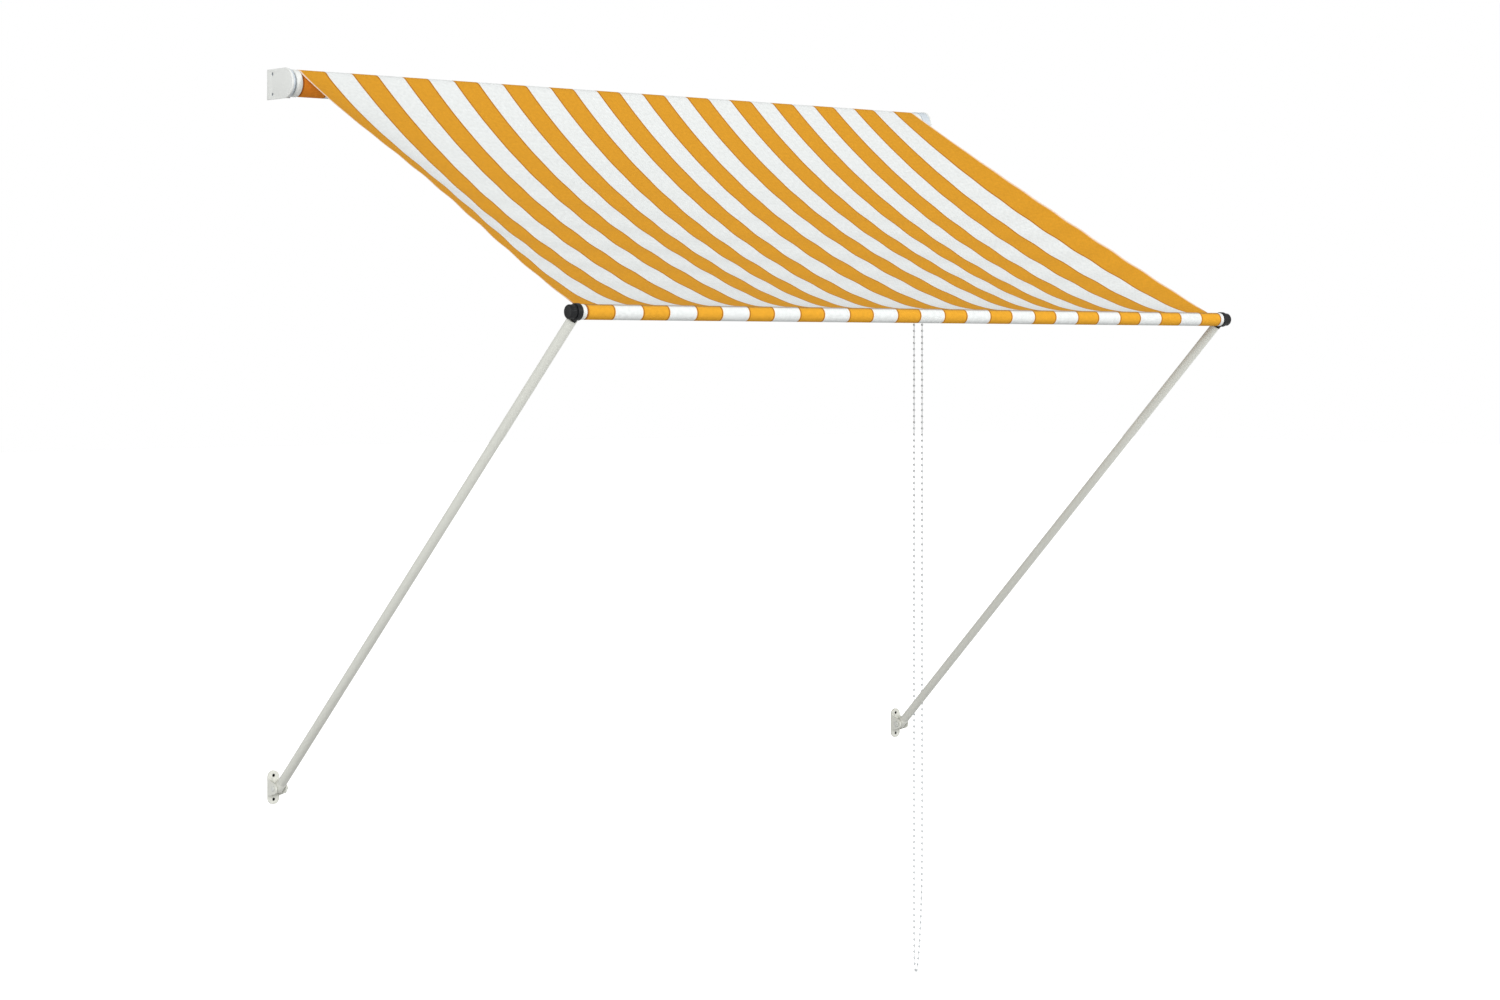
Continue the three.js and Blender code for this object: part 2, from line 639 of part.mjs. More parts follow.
function knobStart() {
  return HEAD_START + HEAD_WIDTH + GAP;
}

function endKnob() {
  const start = knobStart();
  const end = start + KNOB_WIDTH;
  const radius = KNOB_DIAMETER / 2;
  const floor = end - KNOB_END_WALL;
  return turned([
    [floor, 0],
    [floor, BAR_PIN_RADIUS + GAP],
    [start, BAR_PIN_RADIUS + GAP],
    [start, radius - KNOB_EDGE / 2],
    [start + KNOB_EDGE / 2, radius],
    [end - KNOB_EDGE, radius],
    [end, radius - KNOB_EDGE],
    [end, 0],
  ]);
}

function frontBar() {
  const group = new THREE.Group();
  group.position.set(0, -BAR_PROJECTION, -BAR_DROP);
  const radius = BAR_TUBE_DIAMETER / 2;
  const half = FABRIC_WIDTH / 2;
  const tube = plate(ring(radius, radius - BAR_TUBE_WALL), -half, half);
  group.add(node("front_bar_tube", tube, whiteSteel()));
  const hem = plate(ring(HEM_RADIUS, HEM_INNER_RADIUS), -half, half);
  group.add(node("bar_hem", hem, stripedCloth()));
  for (const [side, prefix] of [[-1, "left"], [1, "right"]]) {
    const end = endGroup(side);
    end.add(node(`${prefix}_bar_plug`, barPlug(), whitePlastic()));
    end.add(node(`${prefix}_end_knob`, endKnob(), blackPlastic()));
    group.add(end);
  }
  return group;
}

const awning = new THREE.Group();
awning.add(leftRollerEnd(), rightRollerEnd(), roller(), canopy(), beadChain(), frontBar());
for (const [side, prefix] of [[-1, "left"], [1, "right"]]) {
  awning.add(armMount(side, prefix), arm(side, prefix));
}

export default awning;
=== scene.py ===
"""A drop-arm window awning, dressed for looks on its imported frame.

The frame gives the places and the sizes. This script adds what the frame's plain solids stand for: striped
cloth with its sag and seams, coated steel arms, moulded ends with their screws, and the bead chain.
"""

import json
import logging
import math
from collections.abc import Callable, Iterator, Sequence
from contextlib import contextmanager
from dataclasses import dataclass, field
from enum import Enum

import bmesh
import bpy
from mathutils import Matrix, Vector


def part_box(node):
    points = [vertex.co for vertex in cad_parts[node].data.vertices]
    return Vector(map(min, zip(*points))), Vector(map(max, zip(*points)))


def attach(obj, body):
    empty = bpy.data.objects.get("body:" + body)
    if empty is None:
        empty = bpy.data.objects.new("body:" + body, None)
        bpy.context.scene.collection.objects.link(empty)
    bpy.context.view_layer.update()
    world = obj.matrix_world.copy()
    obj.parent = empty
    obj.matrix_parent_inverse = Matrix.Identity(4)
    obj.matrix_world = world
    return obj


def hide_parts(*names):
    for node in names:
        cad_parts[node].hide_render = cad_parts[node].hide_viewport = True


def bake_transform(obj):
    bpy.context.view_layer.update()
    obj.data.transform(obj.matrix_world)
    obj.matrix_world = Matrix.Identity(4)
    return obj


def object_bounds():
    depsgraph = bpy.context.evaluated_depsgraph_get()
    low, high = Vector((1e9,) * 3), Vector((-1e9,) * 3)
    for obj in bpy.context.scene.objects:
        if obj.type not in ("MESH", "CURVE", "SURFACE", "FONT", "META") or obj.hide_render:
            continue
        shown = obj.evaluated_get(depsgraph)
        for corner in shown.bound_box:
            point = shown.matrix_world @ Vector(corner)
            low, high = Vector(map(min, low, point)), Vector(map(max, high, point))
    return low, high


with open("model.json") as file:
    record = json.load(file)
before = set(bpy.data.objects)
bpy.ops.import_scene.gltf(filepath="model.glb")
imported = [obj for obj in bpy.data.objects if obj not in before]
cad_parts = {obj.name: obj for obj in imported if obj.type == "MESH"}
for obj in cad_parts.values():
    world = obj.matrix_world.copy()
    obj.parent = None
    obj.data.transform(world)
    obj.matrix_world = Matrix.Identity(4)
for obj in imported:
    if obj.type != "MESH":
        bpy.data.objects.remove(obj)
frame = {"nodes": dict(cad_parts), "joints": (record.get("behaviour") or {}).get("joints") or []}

CAD_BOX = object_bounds()
LOG = logging.getLogger("awning")
MM = 0.001
SHARP_ANGLE = math.radians(38)
MERGE_DISTANCE = 1e-6
SMALL_SIDES = 32
ROUND_SIDES = 48
FINE_SIDES = 64
Edges = tuple[tuple[float, float], ...]


def half_height(node: str) -> float:
    """Half of a node's height, which is its radius where it is round about X."""
    low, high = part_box(node)
    return (high.z - low.z) / 2


JOINTS = {joint["name"]: joint for joint in frame["joints"]}
ROLLER_AXIS = Vector(JOINTS["roller_spin"]["pos_m"])
BAR_AXIS = Vector(JOINTS["bar_turn"]["pos_m"])
ARM_PIVOT = Vector(JOINTS["left_arm_swing"]["pos_m"])
CLOTH_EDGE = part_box("wound_fabric")[1].x
ARM_OUTSET = abs(ARM_PIVOT.x) - CLOTH_EDGE
WOUND_RADIUS = half_height("wound_fabric")
HEM_RADIUS = half_height("bar_hem")
STRIPE_COUNT = 27
STRIPE_WIDTH = 2 * CLOTH_EDGE / STRIPE_COUNT


class Side(Enum):
    """The two ends of the awning, seen from outside."""

    LEFT = -1
    RIGHT = 1

    @property
    def word(self) -> str:
        """The side's name as the frame's nodes have it."""
        return self.name.lower()

    def at(self, outset: float) -> float:
        """The X of a place that is outset beyond the cloth's edge."""
        return self.value * (CLOTH_EDGE + outset)

    def span(self, node: str) -> tuple[float, float]:
        """The X of a node's inner and outer faces on this side."""
        low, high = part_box(node)
        return (low.x, high.x) if self is Side.RIGHT else (high.x, low.x)


class Body(Enum):
    """The frame's rigid bodies."""

    WALL = "wall_mounts"
    ROLLER = "roller"
    LEFT_ARM = "left_arm"
    RIGHT_ARM = "right_arm"
    BAR = "front_bar"


class Element(Enum):
    """What an edit picks."""

    VERTICES = "VERT"
    FACES = "FACE"


def linear(code: str) -> tuple[float, float, float, float]:
    """Turns an sRGB hex colour to linear light.

    Args:
        code: Six hex digits with a leading hash.

    Returns:
        Red, green, blue and an alpha of 1.
    """
    shares = [int(code[i:i + 2], 16) / 255 for i in (1, 3, 5)]
    red, green, blue = (s / 12.92 if s <= 0.04045 else ((s + 0.055) / 1.055) ** 2.4 for s in shares)
    return red, green, blue, 1.0


def add_node(
    tree: bpy.types.NodeTree,
    kind: str,
    settings: dict[str, object] | None = None,
    values: dict[str | int, object] | None = None,
    links: dict[str | int, bpy.types.NodeSocket] | None = None,
) -> bpy.types.Node:
    """Adds a node with its settings, its fixed inputs and its linked inputs.

    Args:
        tree: The material's or world's nodes.
        kind: The node's type name.
        settings: Properties of the node.
        values: Fixed values by input name or number.
        links: Sockets by the input name or number that they feed.

    Returns:
        The new node.
    """
    node = tree.nodes.new(kind)
    for key, value in (settings or {}).items():
        setattr(node, key, value)
    for key, value in (values or {}).items():
        node.inputs[key].default_value = value
    for key, socket in (links or {}).items():
        tree.links.new(socket, node.inputs[key])
    return node


@dataclass(frozen=True)
class Finish:
    """A surface, named for its material and how it was made."""

    name: str
    colour: str
    roughness: float

    def material(self) -> bpy.types.Material:
        """Makes the material once and gives it back after that.

        Returns:
            The material with its nodes.
        """
        made = bpy.data.materials.get(self.name)
        if made is None:
            made = bpy.data.materials.new(self.name)
            made.use_nodes = True
            shader = made.node_tree.nodes["Principled BSDF"]
            shader.inputs["Roughness"].default_value = self.roughness
            self.paint(made.node_tree, shader)
        return made

    def paint(self, tree: bpy.types.NodeTree, shader: bpy.types.Node) -> None:
        """Wires the material's own pattern to the shader.

        Args:
            tree: The material's nodes.
            shader: Its shader.
        """
        raise NotImplementedError


@dataclass(frozen=True)
class GrainedCoat(Finish):
    """A hard skin with a fine grain: powder coat's orange peel, or the spark texture of a mould."""

    shade: str = "#C9CAC2"
    grain: float = 1.6 * MM
    depth: float = 0.06 * MM
    grain_detail: float = 2.0
    cloud: float = 90 * MM
    cloud_detail: float = 3.0
    bump: float = 0.6
    roughness_swing: float = 0.08
    specular: float = 0.5

    def paint(self, tree: bpy.types.NodeTree, shader: bpy.types.Node) -> None:
        """Clouds the colour a little and roughens it with the grain.

        Args:
            tree: The material's nodes.
            shader: Its shader.
        """
        shader.inputs["Specular IOR Level"].default_value = self.specular
        place = add_node(tree, "ShaderNodeTexCoord").outputs["Object"]
        cloud = add_node(tree, "ShaderNodeTexNoise", links={"Vector": place},
                         values={"Scale": 1 / self.cloud, "Detail": self.cloud_detail})
        grain = add_node(tree, "ShaderNodeTexNoise", links={"Vector": place},
                         values={"Scale": 1 / self.grain, "Detail": self.grain_detail})
        tint = add_node(tree, "ShaderNodeMix", {"data_type": "RGBA"},
                        {"A": linear(self.colour), "B": linear(self.shade)}, {"Factor": cloud.outputs["Fac"]})
        rough = add_node(tree, "ShaderNodeMapRange",
                         values={"To Min": self.roughness - self.roughness_swing,
                                 "To Max": self.roughness + self.roughness_swing},
                         links={"Value": grain.outputs["Fac"]})
        bump = add_node(tree, "ShaderNodeBump", values={"Strength": self.bump, "Distance": self.depth},
                        links={"Height": grain.outputs["Fac"]})
        tree.links.new(tint.outputs["Result"], shader.inputs["Base Color"])
        tree.links.new(rough.outputs["Result"], shader.inputs["Roughness"])
        tree.links.new(bump.outputs["Normal"], shader.inputs["Normal"])


@dataclass(frozen=True)
class Plating(Finish):
    """Bare or zinc-plated steel, with the faint drawn streaks of wire and bar stock."""

    dull: str = "#85898C"
    streak: float = 2.5 * MM
    streak_detail: float = 4.0
    polish: float = 0.1
    wear: float = 0.15

    def paint(self, tree: bpy.types.NodeTree, shader: bpy.types.Node) -> None:
        """Mottles the metal's colour and roughness.

        Args:
            tree: The material's nodes.
            shader: Its shader.
        """
        shader.inputs["Metallic"].default_value = 1.0
        place = add_node(tree, "ShaderNodeTexCoord").outputs["Object"]
        mottle = add_node(tree, "ShaderNodeTexNoise", links={"Vector": place},
                          values={"Scale": 1 / self.streak, "Detail": self.streak_detail})
        tint = add_node(tree, "ShaderNodeMix", {"data_type": "RGBA"},
                        {"A": linear(self.colour), "B": linear(self.dull)}, {"Factor": mottle.outputs["Fac"]})
        rough = add_node(tree, "ShaderNodeMapRange",
                         values={"To Min": self.roughness - self.polish, "To Max": self.roughness + self.wear},
                         links={"Value": mottle.outputs["Fac"]})
        tree.links.new(tint.outputs["Result"], shader.inputs["Base Color"])
        tree.links.new(rough.outputs["Result"], shader.inputs["Roughness"])


@dataclass(frozen=True)
class StripedCanvas(Finish):
    """Solution-dyed canvas in broad stripes: matt, close-woven, with slubs in the yarn.

    The cloth's own map runs across the stripes and along them in metres. Its threads, half a millimetre
    apart in the real cloth, are drawn four times as coarse so that they show.
    """

    pale: str = "#EAEDEC"
    border: str = "#A05A1C"
    # A painted highlight along the canopy's cut edges; the sleeves' dark edge colour is painted shade.
    edge: str = "#F7DFCB"
    # The sewn line's colour; on the bar's pocket, wide and strong, it is painted shade along the bar's top.
    seam: str = "#8C6A4A"
    thread: float = 2.0 * MM
    slub: float = 7 * MM
    slub_detail: float = 5.0
    slub_fineness: float = 0.65
    slub_range: tuple[float, float] = (0.25, 0.75)
    border_width: float = 3.6 * MM
    border_strength: float = 0.95
    edge_width: float = 4.6 * MM
    edge_end: float = 1.0
    edge_fade: float = 25 * MM
    sewn_line_and_shade_width: float = 1.6 * MM
    sewn_line_and_shade_strength: float = 0.6
    blend_width: float = 0.5 * MM
    specular: float = 0.12
    slub_shade: tuple[float, float] = (0.88, 1.07)
    thread_shade: tuple[float, float] = (0.93, 1.03)
    bump: float = 0.35
    depth: float = 0.25 * MM

    def paint(self, tree: bpy.types.NodeTree, shader: bpy.types.Node) -> None:
        """Draws the stripes, their borders, the cut edges' painted light and shade, the weave and the slubs.

        Args:
            tree: The material's nodes.
            shader: Its shader.
        """
        shader.inputs["Specular IOR Level"].default_value = self.specular
        cloth = add_node(tree, "ShaderNodeUVMap", {"uv_map": "cloth"}).outputs["UV"]
        axes = add_node(tree, "ShaderNodeSeparateXYZ", links={"Vector": cloth})
        across = axes.outputs["X"]
        along = axes.outputs["Y"]
        tint = self.stripes(tree, across)
        tint = self.edges(tree, across, along, tint)
        tint = self.sewn_line_and_shade(tree, along, tint)
        weave = self.weave(tree, across, along)
        slub = add_node(tree, "ShaderNodeTexNoise", links={"Vector": cloth},
                        values={"Scale": 1 / self.slub, "Detail": self.slub_detail,
                                "Roughness": self.slub_fineness})
        shade = add_node(tree, "ShaderNodeMapRange", links={"Value": slub.outputs["Fac"]},
                         values={"From Min": self.slub_range[0], "From Max": self.slub_range[1],
                                 "To Min": self.slub_shade[0], "To Max": self.slub_shade[1]})
        mottled = add_node(tree, "ShaderNodeMix", {"data_type": "RGBA", "blend_type": "MULTIPLY"},
                           {"Factor": 1.0}, {"A": tint, "B": shade.outputs["Result"]})
        thread = add_node(tree, "ShaderNodeMapRange", values={"To Min": self.thread_shade[0],
                          "To Max": self.thread_shade[1]}, links={"Value": weave})
        woven = add_node(tree, "ShaderNodeMix", {"data_type": "RGBA", "blend_type": "MULTIPLY"},
                         {"Factor": 1.0}, {"A": mottled.outputs["Result"], "B": thread.outputs["Result"]})
        bump = add_node(tree, "ShaderNodeBump", values={"Strength": self.bump, "Distance": self.depth},
                        links={"Height": weave})
        tree.links.new(woven.outputs["Result"], shader.inputs["Base Color"])
        tree.links.new(bump.outputs["Normal"], shader.inputs["Normal"])

    def stripes(self, tree: bpy.types.NodeTree, across: bpy.types.NodeSocket) -> bpy.types.NodeSocket:
        """Colours the stripes, the first and last of them in the deeper colour.

        Args:
            tree: The material's nodes.
            across: The distance across the cloth.

        Returns:
            The colour.
        """
        start = add_node(tree, "ShaderNodeMath", {"operation": "ADD"}, {1: STRIPE_WIDTH / 2}, {0: across})
        fold = add_node(tree, "ShaderNodeMath", {"operation": "PINGPONG"}, {1: STRIPE_WIDTH},
                        {0: start.outputs[0]})
        inside = add_node(tree, "ShaderNodeMath", {"operation": "SUBTRACT"}, {1: STRIPE_WIDTH / 2},
                          {0: fold.outputs[0]})
        deep = add_node(tree, "ShaderNodeMapRange", values={"From Min": -self.blend_width / 2,
                        "From Max": self.blend_width / 2}, links={"Value": inside.outputs[0]})
        colour = add_node(tree, "ShaderNodeMix", {"data_type": "RGBA"},
                          {"A": linear(self.pale), "B": linear(self.colour)}, {"Factor": deep.outputs["Result"]})
        from_border = add_node(tree, "ShaderNodeMath", {"operation": "SUBTRACT"},
                               {1: self.border_width / 2}, {0: inside.outputs[0]})
        distance = add_node(tree, "ShaderNodeMath", {"operation": "ABSOLUTE"}, links={0: from_border.outputs[0]})
        line = add_node(tree, "ShaderNodeMapRange", values={"From Min": self.border_width / 2, "From Max": 0.0,
                        "To Max": self.border_strength}, links={"Value": distance.outputs[0]})
        lined = add_node(tree, "ShaderNodeMix", {"data_type": "RGBA"}, {"B": linear(self.border)},
                         {"Factor": line.outputs["Result"], "A": colour.outputs["Result"]})
        return lined.outputs["Result"]

    def edges(
        self, tree: bpy.types.NodeTree, across: bpy.types.NodeSocket, along: bpy.types.NodeSocket,
        tint: bpy.types.NodeSocket
    ) -> bpy.types.NodeSocket:
        """Tints the cut edges: painted highlight on the canopy until its pocket, painted shade at sleeve ends.

        Args:
            tree: The material's nodes.
            across: The distance across the cloth.
            along: The distance along the cloth from the pocket's sewn line.
            tint: The colour so far.

        Returns:
            The colour.
        """
        centred = add_node(tree, "ShaderNodeMath", {"operation": "SUBTRACT"}, {1: CLOTH_EDGE}, {0: across})
        out = add_node(tree, "ShaderNodeMath", {"operation": "ABSOLUTE"}, links={0: centred.outputs[0]})
        mask = add_node(tree, "ShaderNodeMapRange", values={"From Min": CLOTH_EDGE - self.edge_width,
                        "From Max": CLOTH_EDGE - self.edge_width / 2}, links={"Value": out.outputs[0]})
        edge_tint_reach = add_node(tree, "ShaderNodeMapRange", values={"From Min": self.edge_end,
                        "From Max": self.edge_end - self.edge_fade}, links={"Value": along})
        shown = add_node(tree, "ShaderNodeMath", {"operation": "MULTIPLY"},
                         links={0: mask.outputs["Result"], 1: edge_tint_reach.outputs["Result"]})
        mixed = add_node(tree, "ShaderNodeMix", {"data_type": "RGBA"}, {"B": linear(self.edge)},
                         {"Factor": shown.outputs[0], "A": tint})
        return mixed.outputs["Result"]

    def sewn_line_and_shade(
        self, tree: bpy.types.NodeTree, along: bpy.types.NodeSocket, tint: bpy.types.NodeSocket
    ) -> bpy.types.NodeSocket:
        """Darkens the sewn line that closes the bar's pocket; on the pocket, wider, it is painted shade on top.

        Args:
            tree: The material's nodes.
            along: The distance along the cloth from that line.
            tint: The colour so far.

        Returns:
            The colour.
        """
        off = add_node(tree, "ShaderNodeMath", {"operation": "ABSOLUTE"}, links={0: along})
        mask = add_node(tree, "ShaderNodeMapRange", values={"From Min": self.sewn_line_and_shade_width, "From Max": 0.0,
                        "To Max": self.sewn_line_and_shade_strength}, links={"Value": off.outputs[0]})
        mixed = add_node(tree, "ShaderNodeMix", {"data_type": "RGBA"}, {"B": linear(self.seam)},
                         {"Factor": mask.outputs["Result"], "A": tint})
        return mixed.outputs["Result"]

    def weave(
        self, tree: bpy.types.NodeTree, across: bpy.types.NodeSocket, along: bpy.types.NodeSocket
    ) -> bpy.types.NodeSocket:
        """Crosses warp and weft in a plain weave.

        Args:
            tree: The material's nodes.
            across: The distance across the cloth.
            along: The distance along the cloth.

        Returns:
            The weave's height, from 0 to 1.
        """
        waves = []
        for distance in (across, along):
            turn = add_node(tree, "ShaderNodeMath", {"operation": "MULTIPLY"}, {1: math.pi / self.thread},
                            {0: distance})
            waves.append(add_node(tree, "ShaderNodeMath", {"operation": "SINE"}, links={0: turn.outputs[0]}))
        crossed = add_node(tree, "ShaderNodeMath", {"operation": "MULTIPLY"},
                           links={0: waves[0].outputs[0], 1: waves[1].outputs[0]})
        height = add_node(tree, "ShaderNodeMapRange", values={"From Min": -1.0}, links={"Value": crossed.outputs[0]})
        return height.outputs["Result"]


# Canvas, solution-dyed and close-woven: a flat warm yellow against a cool white, with no shine.
# Its cut edges carry a painted highlight that fades out towards the pocket's sewn line.
CANVAS = StripedCanvas("striped_canvas", "#DB9B2A", 0.92, edge_end=-6 * MM)
# The same canvas round the bar, a copy painted brighter for its lit front: painted light.
# With a dark band of painted shade along its top and painted shade at its two ends.
PAINTED_LIGHT_POCKET_CANVAS = StripedCanvas("painted_light_pocket_canvas", "#E5A530", 0.92, edge="#A5642A",
                              edge_width=1.6 * MM, sewn_line_and_shade_width=5 * MM, sewn_line_and_shade_strength=0.8)
# The same canvas wound up, a copy painted redder: painted shade and bounce light under the canopy.
# Its two ends carry painted shade too.
PAINTED_SHADE_WOUND_CANVAS = StripedCanvas("painted_shade_wound_canvas", "#EA8E2C", 0.92, edge="#A5642A", edge_width=1.6 * MM)
# Powder-coated steel: a warm off-white with a soft sheen and a faint orange peel.
COATED_STEEL = GrainedCoat("powder_coated_steel", "#D9DAD2", 0.42, shade="#D0D1C9")
# Powder-coated steel in the roller brackets: the same sheen, painted a cool pale grey as painted shade.
PAINTED_SHADE_STEEL = GrainedCoat("painted_shade_coated_steel", "#CBD3D9", 0.42, shade="#BEC7CE")
# Enamelled steel: the bolt heads and nuts, nearly the brackets' own colour.
ENAMEL = GrainedCoat("enamelled_steel", "#D2D4CF", 0.35, shade="#C6C8C3", grain=0.7 * MM)
# Moulded ABS, spark-textured: a cooler white with a dry sheen.
WHITE_ABS = GrainedCoat("moulded_white_abs", "#E6E8E5", 0.5, shade="#DCDEDB", grain=0.9 * MM, depth=0.04 * MM)
# Moulded acetal: a blue-grey that stays slightly waxy.
GREY_ACETAL = GrainedCoat("moulded_grey_acetal", "#B4BCC4", 0.4, shade="#A6AFB8", grain=0.9 * MM)
# Moulded glass-filled nylon: near black, its grain catching a grey bloom.
BLACK_NYLON = GrainedCoat("moulded_black_nylon", "#0D0E0F", 0.5, shade="#17181A", grain=0.8 * MM,
                          specular=0.17)
# The same nylon where hands rub the knob: a little greyer and drier.
RUBBED_NYLON = GrainedCoat("rubbed_black_nylon", "#18191A", 0.58, shade="#202122", grain=0.8 * MM,
                           specular=0.2)
# Moulded polyester beads: milky, with a small bright highlight.
BEAD_PLASTIC = GrainedCoat("moulded_bead_plastic", "#D0D4D6", 0.3, shade="#C6CACC", grain=2.0 * MM,
                           depth=0.02 * MM)
# Zinc-plated steel: bluish grey, a little mottled.
ZINC = Plating("zinc_plated_steel", "#A9ADB0", 0.36)
# Blackened matt steel for the screw heads in the arm brackets' holes: painted shade for the holes' shadow.
HOLE_SHADE_STEEL = Plating("hole_shade_steel", "#242526", 0.55, dull="#1A1B1C")
# Oiled spring wire: dark and tight-grained.
SPRING_STEEL = Plating("oiled_spring_steel", "#6D7074", 0.3, dull="#55585B")


class Bench:
    """The hand moves that the turned, pressed and moulded pieces are made with."""

    @staticmethod
    def deselect() -> None:
        """Clears the selection, so that an operator acts on one piece alone."""
        bpy.ops.object.select_all(action="DESELECT")

    @staticmethod
    def focus(piece: bpy.types.Object) -> None:
        """Selects one piece alone and makes it the active one.

        Args:
            piece: The piece to work on.
        """
        Bench.deselect()
        bpy.context.view_layer.objects.active = piece
        piece.select_set(True)

    @staticmethod
    def named(name: str) -> bpy.types.Object:
        """Names the primitive that was just added and puts its place into its mesh.

        Args:
            name: The piece's name.

        Returns:
            The piece.
        """
        piece = bpy.context.object
        piece.name = name
        piece.data.name = name
        bpy.ops.object.transform_apply(location=True, rotation=True, scale=True)
        return piece

    @staticmethod
    @contextmanager
    def editing(piece: bpy.types.Object) -> Iterator[None]:
        """Opens a piece in edit mode and leaves it again.

        Args:
            piece: The mesh piece.

        Returns:
            A context that lasts while the piece is open.
        """
        Bench.focus(piece)
        bpy.ops.object.mode_set(mode="EDIT")
        yield
        bpy.ops.object.mode_set(mode="OBJECT")

    @staticmethod
    def pick(piece: bpy.types.Object, test: Callable[[Vector], bool], kind: Element) -> None:
        """Selects, in edit mode, the elements whose middle passes a test.

        Args:
            piece: The piece being edited.
            test: True for a middle that is wanted.
            kind: What to pick.
        """
        bpy.ops.mesh.select_mode(type=kind.value)
        bpy.ops.mesh.select_all(action="DESELECT")
        mesh = bmesh.from_edit_mesh(piece.data)
        if kind is Element.VERTICES:
            for vertex in mesh.verts:
                vertex.select_set(test(vertex.co))
        else:
            for face in mesh.faces:
                face.select_set(test(face.calc_center_median()))
        mesh.select_flush_mode()
        bmesh.update_edit_mesh(piece.data)

    @staticmethod
    def outward() -> None:
        """Merges doubles and turns all faces of the open edit outwards."""
        bpy.ops.mesh.select_all(action="SELECT")
        bpy.ops.mesh.remove_doubles(threshold=MERGE_DISTANCE)
        bpy.ops.mesh.normals_make_consistent(inside=False)

    @staticmethod
    def turned(
        name: str, axis: Vector, profile: Sequence[tuple[float, float]], sides: int = ROUND_SIDES
    ) -> bpy.types.Object:
        """Draws a round piece out of a disc, step by step along X.

        Args:
            name: The piece's name.
            axis: A point that the piece is round about.
            profile: The X and radius of each edge, from one end face to the other.
            sides: How many sides the round has.

        Returns:
            The closed piece.
        """
        (x, radius), *steps = profile
        Bench.deselect()
        bpy.ops.mesh.primitive_circle_add(vertices=sides, radius=radius, fill_type="NGON",
                                          location=(x, axis.y, axis.z), rotation=(0, math.pi / 2, 0))
        piece = Bench.named(name)
        with Bench.editing(piece):
            bpy.ops.mesh.select_mode(type=Element.FACES.value)
            bpy.ops.mesh.select_all(action="SELECT")
            for next_x, next_radius in steps:
                bpy.ops.mesh.extrude_region_move(TRANSFORM_OT_translate={"value": (next_x - x, 0, 0)})
                scale = next_radius / radius
                bpy.ops.transform.resize(value=(1, scale, scale), center_override=(next_x, axis.y, axis.z))
                x, radius = next_x, next_radius
            Bench.outward()
        return piece

    @staticmethod
    def eye_plate(
        name: str,
        eye: Vector,
        radius: float,
        heading: float,
        reach: float,
        half_width: float,
        span: tuple[float, float],
        sides: int = FINE_SIDES,
    ) -> bpy.types.Object:
        """Cuts a plate that is round at its eye and runs out to a straight end.

        Args:
            name: The piece's name.
            eye: The middle of the round end.
            radius: The round end's radius.
            heading: The way to the straight end, as an angle from +Y towards +Z.
            reach: How far the straight end lies from the eye.
            half_width: Half of the straight end's width.
            span: The X of the plate's two faces.
            sides: How many sides the full round has.

        Returns:
            The closed plate.
        """
        Bench.deselect()
        bpy.ops.mesh.primitive_circle_add(vertices=sides, radius=radius, fill_type="NOTHING",
                                          location=(span[0], eye.y, eye.z), rotation=(0, math.pi / 2, 0))
        piece = Bench.named(name)
        ahead = Vector((0, math.cos(heading), math.sin(heading)))
        beside = Vector((0, -math.sin(heading), math.cos(heading)))
        middle = Vector((span[0], eye.y, eye.z))
        half = min(half_width, radius)
        opening = radius * math.sqrt(max(0.0, 1 - (half / radius) ** 2))
        slack = radius * math.pi / (2 * sides)
        with Bench.editing(piece):
            Bench.pick(piece, lambda at: (at - middle).dot(ahead) > opening + slack, Element.VERTICES)
            bpy.ops.mesh.delete(type="VERT")
            for way in (1, -1):
                mesh = bmesh.from_edit_mesh(piece.data)
                ends = [v.co.copy() for v in mesh.verts
                        if len(v.link_edges) == 1 and way * (v.co - middle).dot(beside) > 0
                        and (v.co - middle).dot(ahead) < reach - slack]
                corner = ends[0]
                target = middle + ahead * reach + beside * way * half_width
                Bench.pick(piece, lambda at, corner=corner: (at - corner).length < MERGE_DISTANCE,
                           Element.VERTICES)
                bpy.ops.mesh.extrude_vertices_move(TRANSFORM_OT_translate={"value": target - corner})
            bpy.ops.mesh.select_all(action="SELECT")
            bpy.ops.mesh.edge_face_add()
            bpy.ops.mesh.extrude_region_move(TRANSFORM_OT_translate={"value": (span[1] - span[0], 0, 0)})
            Bench.outward()
        return piece

    @staticmethod
    def apply(piece: bpy.types.Object, kind: str, **settings: object) -> None:
        """Adds a modifier to a piece and applies it.

        Args:
            piece: The piece.
            kind: The modifier's type name.
            settings: Its properties.
        """
        Bench.focus(piece)
        modifier = piece.modifiers.new(kind.lower(), kind)
        for key, value in settings.items():
            setattr(modifier, key, value)
        bpy.ops.object.modifier_apply(modifier=modifier.name)

    @staticmethod
    def combine(piece: bpy.types.Object, other: bpy.types.Object, how: str) -> None:
        """Joins another shape to a piece or cuts it out, and throws the other away.

        Args:
            piece: The piece that stays.
            other: The shape that is used up.
            how: UNION, DIFFERENCE or INTERSECT.
        """
        Bench.apply(piece, "BOOLEAN", object=other, operation=how, solver="EXACT")
        bpy.data.objects.remove(other)

    @staticmethod
    def soften(piece: bpy.types.Object, edge: float, segments: int = 2) -> None:
        """Rounds a piece's sharp edges and shades it smooth.

        Args:
            piece: The piece.
            edge: The width of the rounding, or 0 for none.
            segments: How many facets the rounding has.
        """
        if edge > 0:
            Bench.apply(piece, "BEVEL", width=edge, segments=segments, limit_method="ANGLE",
                        angle_limit=SHARP_ANGLE, use_clamp_overlap=True)
        Bench.focus(piece)
        bpy.ops.object.shade_smooth_by_angle(angle=SHARP_ANGLE)

